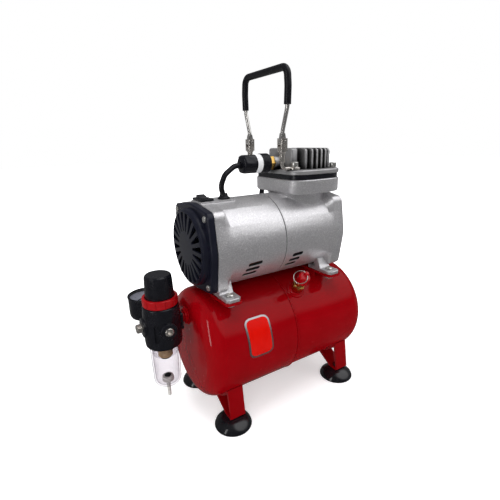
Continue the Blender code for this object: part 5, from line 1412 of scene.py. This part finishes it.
needle = drum(2.3, 145.4, 146.9, 20, chamfer=0.3, **ON_GAUGE)
centre, out, across = dial_frame(DIAL_ZERO)
rings = []
for distance, half in ((-6, 1.0), (15.5, 0.35)):
    section = ((-half, 145.7), (half, 145.7), (half, 146.3), (-half, 146.3))
    rings.append([centre + out * distance + across * w + Vector((0, 0, z))
                  for w, z in section])
add(needle, loft(rings))
part(needle, "gauge_needle", "black", (GAUGE_X, GAUGE_Y, 146), 30)

# ==== safety valve, leaning to the front ====
valve = turned([
    (2.3, 58.0), (2.3, 84.5), (5.8, 84.5), (5.8, 80.4), (7.2, 79.8), (7.2, 78.0), (6.4, 77.4),
    (6.4, 70.8), (5.0, 70.8), (5.0, 58.6), (4.4, 58.0)], 28, **ON_VALVE)
add(valve, cut(hexbar(14.0, 71.2, 78.0, chamfer=0.7, **ON_VALVE),
               drum(5.5, 60, 90, 24, **ON_VALVE)))
part(valve, "safety_valve_body", "brass", VALVE_BASE + VALVE_DIR * 70, 30)

valve_cap = turned([
    (0, 60.0), (2.0, 60.0), (2.0, 85.4), (6.4, 85.4), (7.4, 86.6), (7.4, 96.4), (6.0, 98.4),
    (3.0, 99.0), (2.6, 99.6), (2.6, 103.8), (1.8, 104.6), (0, 104.6)], 28, **ON_VALVE)
cross_hole = Vector((0, -math.cos(VALVE_LEAN), -math.sin(VALVE_LEAN)))
ring_pivot = VALVE_BASE + VALVE_DIR * 102.0
cut(valve_cap, drum(1.05, -8, 8, 12, cross_hole, ring_pivot))
part(valve_cap, "safety_valve_cap", "ringred", VALVE_BASE + VALVE_DIR * 90, 30)

# the ring hangs through the cross hole to the left, swung down towards the cap
RING_R = 8.4
swing = math.radians(30)
down = Vector((-math.cos(swing), 0, 0)) - VALVE_DIR * math.sin(swing)
pull_ring = torus(ring_pivot + down * RING_R, -down, cross_hole,
                  cross_hole.cross(down).normalized(), RING_R, segments(48), lambda k: 0.55)
part(pull_ring, "pull_ring", "steel", ring_pivot, 60)

# ==== delivery hose from behind the head down to the tank ====
hose_path = smooth_path([(46.0, 38.2, 301.0), (46.0, 52.0, 301.0), (46.0, 70.0, 286.0),
                         (38.0, 74.0, 220.0), (33.0, 66.0, 164.0), (33.0, 46.3, 145.2)],
                        [10, 16, 30, 16], 5)
part(wire(hose_path, 3.6, 14), "delivery_hose", "rubber", (40, 42, 280))


# ==== details that only the looks need ====
def cross_head(name, at, axis, radius, height):
    """Pan head screw with a cross recess; at is the underside of the head."""
    screw = turned([(0, -0.6), (radius * 0.55, -0.6), (radius * 0.55, 0.0), (radius, 0.0),
                    (radius, height * 0.45), (radius * 0.86, height * 0.82),
                    (radius * 0.5, height), (0, height)], 34, axis, at, fillet=0.25)
    u, v, w = basis(axis)
    centre = Vector(at)
    for quarter in (0, math.pi / 2):
        t = math.radians(27) + quarter
        along = u * math.cos(t) + v * math.sin(t)
        across = u * -math.sin(t) + v * math.cos(t)
        rings = []
        for z, taper in ((height + 1.0, 1.0), (height - 1.2, 0.45)):
            rings.append([centre + along * (a * radius * 0.60 * taper)
                          + across * (b * radius * 0.115) + w * z
                          for a, b in ((-1, -1), (1, -1), (1, 1), (-1, 1))])
        cut(screw, loft(rings))
    detail(screw, name, "zinc", "zinc_steel", at)


for i, (y, z) in enumerate(((-1, 1), (1, 1), (-1, -1), (1, -1)), 1):
    y, z = y * LUG, MOTOR_Z + z * LUG
    cross_head("fan_cover_screw_%d" % i, (-101.6, y, z), (-1, 0, 0), radius=3.5, height=2.2)
    cross_head("end_cover_screw_%d" % i, (88.1, y, z), (1, 0, 0), radius=3.4, height=2.1)


# ---- painted weld beads with the ripple of the run ----
def weld(obj, name):
    detail(obj, name, "red", "tank_paint", angle=60)


def bead(name, path, radius, seed):
    radii = [radius * (1.0 + 0.13 * math.sin(i * 2.1 + seed)
                       + 0.07 * math.sin(i * 0.73 + seed * 3)) for i in range(len(path))]
    weld(wire(path, radii, 9), name)


def seam_ripple(k):
    return 0.95 * (1.0 + 0.10 * math.sin(k * 0.9) + 0.06 * math.sin(k * 0.31 + 1.0))


def nipple_ripple(k):
    return 1.15 * (1.0 + 0.12 * math.sin(k * 1.7) + 0.06 * math.sin(k * 0.6))


ROUND_X = basis(ALONG_X)
weld(torus(Vector((1.15, 0, TANK_Z)), *ROUND_X, TANK_LEFT_R - 0.45, 360, seam_ripple),
     "seam_weld")

# beads along the saddles and the legs where they meet the tank
for tag, x, radius in (("left", BOLT_X[0], TANK_LEFT_R), ("right", BOLT_X[1], TANK_R)):
    start, end = math.radians(64), math.radians(80)
    for side in SIDES:
        for edge, dx in (("a", -8.2), ("b", 8.2)):
            path = []
            for k in range(27):
                a = start + (end - start) * k / 26
                path.append(Vector((x + dx, side * (radius + 0.2) * math.cos(a),
                                    TANK_Z + (radius + 0.2) * math.sin(a))))
            face = "front" if side < 0 else "rear"
            bead("saddle_weld_%s_%s_%s" % (tag, face, edge), path, 1.05, seed=x + dx)
for tag, leg_x, radius in (("left", LEG_X[0], TANK_LEFT_R), ("right", LEG_X[1], TANK_R)):
    limit = math.degrees(math.asin(52.0 / radius))
    for edge, dx in (("a", -10.2), ("b", 10.2)):
        x = leg_x + dx
        from_end = (x - TANK_X[0]) if leg_x < 0 else (TANK_X[1] - x)
        local = radius
        if from_end < TANK_SHOULDER:     # the bead follows the shoulder inward
            drop = (TANK_SHOULDER - from_end) ** 2
            local = radius - TANK_SHOULDER + math.sqrt(max(0.0, TANK_SHOULDER ** 2 - drop))
        path = []
        for k in range(61):
            a = math.radians(-limit + 2 * limit * k / 60)
            path.append(Vector((x, (local + 0.2) * math.sin(a),
                                TANK_Z - (local + 0.2) * math.cos(a))))
        bead("leg_weld_%s_%s" % (tag, edge), path, 1.0, seed=dx)

weld(torus(Vector((-116.6, 0, PORT_Z)), *ROUND_X, 9.9, 72, nipple_ripple), "nipple_weld")


# ---- plain nameplate on the front of the tank, bent to its curve ----
def curved_pad(width, height, corner, inner, outer, crown):
    """Pad between two radii about the tank axis, its face raised by crown off the rim."""
    rows, cols = 48, 14
    centre_x, centre_angle = -53.5, math.radians(18.7)       # angle above the horizontal
    top, bottom = [], []
    for i in range(rows + 1):
        v = -height / 2 + height * i / rows
        past = max(0.0, abs(v) - (height / 2 - corner))
        half = width / 2 - corner + math.sqrt(max(0.0, corner * corner - past * past))
        a = centre_angle + v / TANK_LEFT_R
        for j in range(cols + 1):
            u = -half + 2 * half * j / cols
            rise = min(1.0, min(half - abs(u), height / 2 - abs(v)) / 2.0)
            for verts, r in ((top, outer + crown * max(0.0, rise)), (bottom, inner)):
                verts.append((centre_x + u, -r * math.cos(a), TANK_Z + r * math.sin(a)))
    n = cols + 1
    off = len(top)
    last = rows * n
    faces = []
    for i in range(rows):
        for j in range(cols):
            a, b, c, d = i * n + j, i * n + j + 1, (i + 1) * n + j + 1, (i + 1) * n + j
            faces.append((a, b, c, d))
            faces.append((off + d, off + c, off + b, off + a))
    for i in range(rows):
        a, b = i * n, (i + 1) * n
        faces.append((a, b, off + b, off + a))
        faces.append((b + cols, a + cols, off + a + cols, off + b + cols))
    for j in range(cols):
        faces.append((j + 1, j, off + j, off + j + 1))
        faces.append((last + j, last + j + 1, off + last + j + 1, off + last + j))
    return solid(top + bottom, faces)


rim = curved_pad(width=33.0, height=46.0, corner=8.0, inner=TANK_LEFT_R - 0.3,
                 outer=TANK_LEFT_R + 0.55, crown=0.35)
detail(rim, "nameplate_rim", "plate", "bright_steel")
face = curved_pad(width=28.6, height=41.6, corner=6.0, inner=TANK_LEFT_R + 0.3,
                  outer=TANK_LEFT_R + 1.05, crown=0.30)
detail(face, "nameplate_face", "enamel", "red_plastic")

# plain band round the pressure switch
label = turned([(10.45, SWITCH_X - 12.2), (10.95, SWITCH_X - 12.2), (10.95, SWITCH_X - 5.0),
                (10.45, SWITCH_X - 5.0)], 64, fillet=0.1, **ON_SWITCH)
detail(label, "switch_band", "label", "black_plastic", (0, 0, SWITCH_Z))

# ---- dial of the gauge ----
DIAL = (GAUGE_X, GAUGE_Y, 145)
detail(drum(19.45, 145.02, 145.22, 72, **ON_GAUGE), "gauge_dial", "white", "clear", DIAL)


def dial_mark(inner, outer, width, degrees):
    centre, out, across = dial_frame(degrees)
    corners = ((inner, -1), (outer, -1), (outer, 1), (inner, 1))
    return loft([[centre + out * r + across * (q * width / 2) + Vector((0, 0, z))
                  for r, q in corners] for z in (145.2, 145.27)])


marks = []
for k in range(51):
    major = k % 10 == 0
    start = 15.4 if major else (16.3 if k % 5 == 0 else 17.0)
    marks.append(dial_mark(start, 18.4, 0.55 if major else 0.28,
                           DIAL_ZERO - DIAL_SWEEP * k / 50))
detail(joined(marks), "gauge_ticks", "ink", "black_plastic", DIAL)

rings = []                   # red band over the last fifth of the scale
start, end = DIAL_ZERO - DIAL_SWEEP * 0.8, DIAL_ZERO - DIAL_SWEEP
for k in range(19):
    a = math.radians(start + (end - start) * k / 18)
    rings.append([(GAUGE_X + r * math.cos(a), GAUGE_Y + r * math.sin(a), z) for r, z in
                  ((14.2, 145.2), (14.9, 145.2), (14.9, 145.26), (14.2, 145.26))])
detail(loft(rings), "gauge_red_band", "redink", "red_plastic", DIAL)

for k, text in enumerate(("0", "2", "4", "6", "8", "10")):
    curve = bpy.data.curves.new("dial_number_" + text, "FONT")
    curve.body = text
    curve.size = 3.4 * MM
    curve.extrude = 0.03 * MM
    curve.resolution_u = 3
    curve.align_x = "CENTER"
    curve.align_y = "CENTER"
    flat = bpy.data.objects.new("dial_number_tmp", curve)
    COLLECTION.objects.link(flat)
    depsgraph = bpy.context.evaluated_depsgraph_get()
    mesh = bpy.data.meshes.new_from_object(flat.evaluated_get(depsgraph))
    bpy.data.objects.remove(flat, do_unlink=True)
    number = bpy.data.objects.new("dial_number_" + text, mesh)
    COLLECTION.objects.link(number)
    a = math.radians(DIAL_ZERO - DIAL_SWEEP / 5 * k)
    place = Vector((GAUGE_X + 12.2 * math.cos(a), GAUGE_Y + 12.2 * math.sin(a), 145.27))
    number.location = (place + ORIGIN) * MM
    number.rotation_euler = (0, 0, math.radians(-10))
    mesh.materials.clear()
    mesh.materials.append(finish_of("ink"))
    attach(number, "compressor")

# clear deflector under the regulator head and the cap of the drain valve
deflector = turned([(9.4, 98.5), (13.5, 96.0), (13.9, 96.0), (13.9, 98.0), (13.6, 108.4),
                    (9.4, 108.4)], 64, fillet=0.4, **ON_REGULATOR)
detail(deflector, "bowl_deflector", "clear", "clear", (REG_X, REG_Y, 100), 40)
pad = turned([(0, BOWL_Z + 9.4), (3.9, BOWL_Z + 9.4), (3.9, BOWL_Z + 10.2),
              (3.3, BOWL_Z + 10.6), (0, BOWL_Z + 10.6)], 36, **ON_REGULATOR)
detail(pad, "drain_valve_pad", "rubber", "black_rubber", (REG_X, REG_Y, 60), 40,
       body="bowl_drain")

# collars at both ends of the delivery hose
for name, start, towards in (("hose_collar_head", hose_path[0], hose_path[1]),
                             ("hose_collar_tank", hose_path[-1], hose_path[-2])):
    collar = turned([(3.8, 0.6), (5.4, 0.6), (5.4, 3.0), (5.0, 3.6), (5.0, 8.6), (5.4, 9.2),
                     (5.4, 10.8), (3.8, 10.8)], 40, (towards - start).normalized(), start)
    detail(collar, name, "zinc", "zinc_steel", start, 35)


# ==== floor, in metres ====
def floor_paper():
    """Diffuse paper that glows for the camera; mirrors see it dark towards the front."""
    g = new_material("pale_floor")
    colour = g.mottle(g.noise(scale=3.0), dark=(0.86, 0.86, 0.865), light=(0.875, 0.875, 0.88))
    paper = g.node("BsdfDiffuse", Color=colour).outputs[0]
    rays = g.node("LightPath").outputs
    distance = g.vector_math("LENGTH", g.coords)
    glow = g.math("MULTIPLY", rays["Is Camera Ray"],
                  g.span(distance, low=0.39, high=1.1, start=0.26, end=0.75))
    lit = g.indexed("AddShader", paper, g.node("Emission", Strength=glow).outputs[0])
    front = math.radians(-31.8)
    towards = g.vector_math("DOT_PRODUCT", g.coords,
                            (math.sin(front), -math.cos(front), 0.0))
    dim = g.span(towards, low=0.30, high=0.10, start=-0.30, end=0.06)
    mirrored = g.node("Emission", Strength=dim)
    return g.surface(g.indexed("MixShader", rays["Is Glossy Ray"], lit.outputs[0],
                               mirrored.outputs[0]).outputs[0])


FLOOR_HALF, FLOOR_Z = 6.0, -0.0002
floor_mesh = bpy.data.meshes.new("floor")
floor_mesh.from_pydata([(x * FLOOR_HALF, y * FLOOR_HALF, FLOOR_Z)
                        for x, y in ((-1, -1), (1, -1), (1, 1), (-1, 1))], [], [(0, 1, 2, 3)])
floor = bpy.data.objects.new("floor", floor_mesh)
COLLECTION.objects.link(floor)
floor_mesh.materials.append(floor_paper())

# ==== world ====
scene = bpy.context.scene
scene.view_settings.view_transform = "Standard"
scene.view_settings.look = "None"

AZIMUTH, ELEVATION, ROLL = math.radians(-31.794), math.radians(17.16), math.radians(-1.25)


def build_world():
    """White to the camera; the camera's side is dark, above all for mirror-like pieces."""
    world = bpy.data.worlds.new("studio")
    scene.world = world
    g = Graph(world, "Generated")
    height = g.indexed("SeparateXYZ", g.coords).outputs[2]
    greys = [(p, (v, v, v * 1.01)) for p, v in
             ((0.49, 0.85), (0.54, 0.70), (0.68, 0.66), (0.80, 0.80))]
    sky = g.ramp(g.span(height, low=0.0, high=1.0, start=-1.0, end=1.0),
                 [(0.0, (0.80, 0.80, 0.81))] + greys + [(1.0, (0.92, 0.92, 0.94))])
    rays = g.node("LightPath").outputs
    glossy = rays["Is Glossy Ray"]

    turn = AZIMUTH + math.radians(22)
    forward = g.vector_math("DOT_PRODUCT", g.coords, (math.sin(turn), -math.cos(turn), 0.0))
    edge = dict(start=-0.10, end=0.42, smooth=True)
    # soft light: full from behind and above, SOFT elsewhere
    SOFT = 0.45
    seen = g.math("MAXIMUM", g.span(forward, low=1.0, high=0.0, **edge),
                  g.span(height, low=0.0, high=1.0, start=0.60, end=0.74, smooth=True))
    diffuse = g.math("ADD", g.math("MULTIPLY", seen, 1.0 - SOFT), SOFT)
    # reflections: a bright round panel high on the front right, dim surroundings
    panel = g.vector_math("DOT_PRODUCT", g.coords, (0.5, -0.393, 0.772))
    bright = g.span(panel, low=0.0, high=1.85, start=math.cos(math.radians(43.0)),
                    end=math.cos(math.radians(29.0)), smooth=True)
    mirrored = g.math("ADD", bright, g.span(forward, low=0.22, high=0.10, **edge))
    level = g.math("ADD", g.math("MULTIPLY", mirrored, glossy),
                   g.math("MULTIPLY", diffuse, g.math("SUBTRACT", 1.0, glossy)))
    lit = g.mix(1.0, sky, level, blend="MULTIPLY")
    background = g.tree.nodes["Background"]
    g.feed(background.inputs[0], g.mix(rays["Is Camera Ray"], lit, (1.0, 1.0, 1.0, 1.0)))
    background.inputs[1].default_value = 1.0


build_world()


# ==== lights and camera; light places and sizes are in metres ====
def softbox(name, place, target, size, power, mirror=False):
    """Rectangular light; mirror lets it show in reflections."""
    light = bpy.data.lights.new(name, "AREA")
    light.shape = "RECTANGLE"
    light.size, light.size_y = size
    light.energy = power
    lamp = bpy.data.objects.new(name, light)
    COLLECTION.objects.link(lamp)
    lamp.location = place
    lamp.rotation_mode = "QUATERNION"
    lamp.rotation_quaternion = (Vector(target) - Vector(place)).to_track_quat("-Z", "Y")
    lamp.visible_camera = False
    lamp.visible_glossy = mirror


softbox("top_box", place=(-0.15, 0.10, 1.5), target=(0.0, 0.0, 0.15), size=(1.5, 1.0),
        power=17.0)
softbox("front_fill", place=(-0.9, -1.5, 0.9), target=(0.0, 0.0, 0.18), size=(1.2, 1.2),
        power=9.0)
softbox("left_strip", place=(-1.25, -0.35, 0.55), target=(0.0, 0.0, 0.15), size=(0.14, 1.1),
        power=3.0, mirror=True)
softbox("right_box", place=(1.2, -0.9, 0.9), target=(0.0, 0.0, 0.2), size=(0.8, 1.0),
        power=4.0)

AIM = Vector((-24.5, 0.0, 197.9))        # point the camera looks at, mm
DISTANCE = 447.6                         # from there to the camera, mm
lens = bpy.data.cameras.new("camera")
lens.sensor_width = 36.0
lens.lens = 25.4304
lens.clip_start, lens.clip_end = 0.01, 50.0
camera = bpy.data.objects.new("camera", lens)
COLLECTION.objects.link(camera)
back = Vector((math.sin(AZIMUTH) * math.cos(ELEVATION),
               -math.cos(AZIMUTH) * math.cos(ELEVATION), math.sin(ELEVATION)))
level = Vector((math.cos(AZIMUTH), math.sin(AZIMUTH), 0))
upward = back.cross(level)
cam_x = level * math.cos(ROLL) + upward * math.sin(ROLL)
cam_y = -level * math.sin(ROLL) + upward * math.cos(ROLL)
spot = (AIM + back * DISTANCE + ORIGIN) * MM
camera.matrix_world = Matrix([(cam_x[i], cam_y[i], back[i], spot[i]) for i in range(3)]
                             + [(0, 0, 0, 1)])
scene.camera = camera
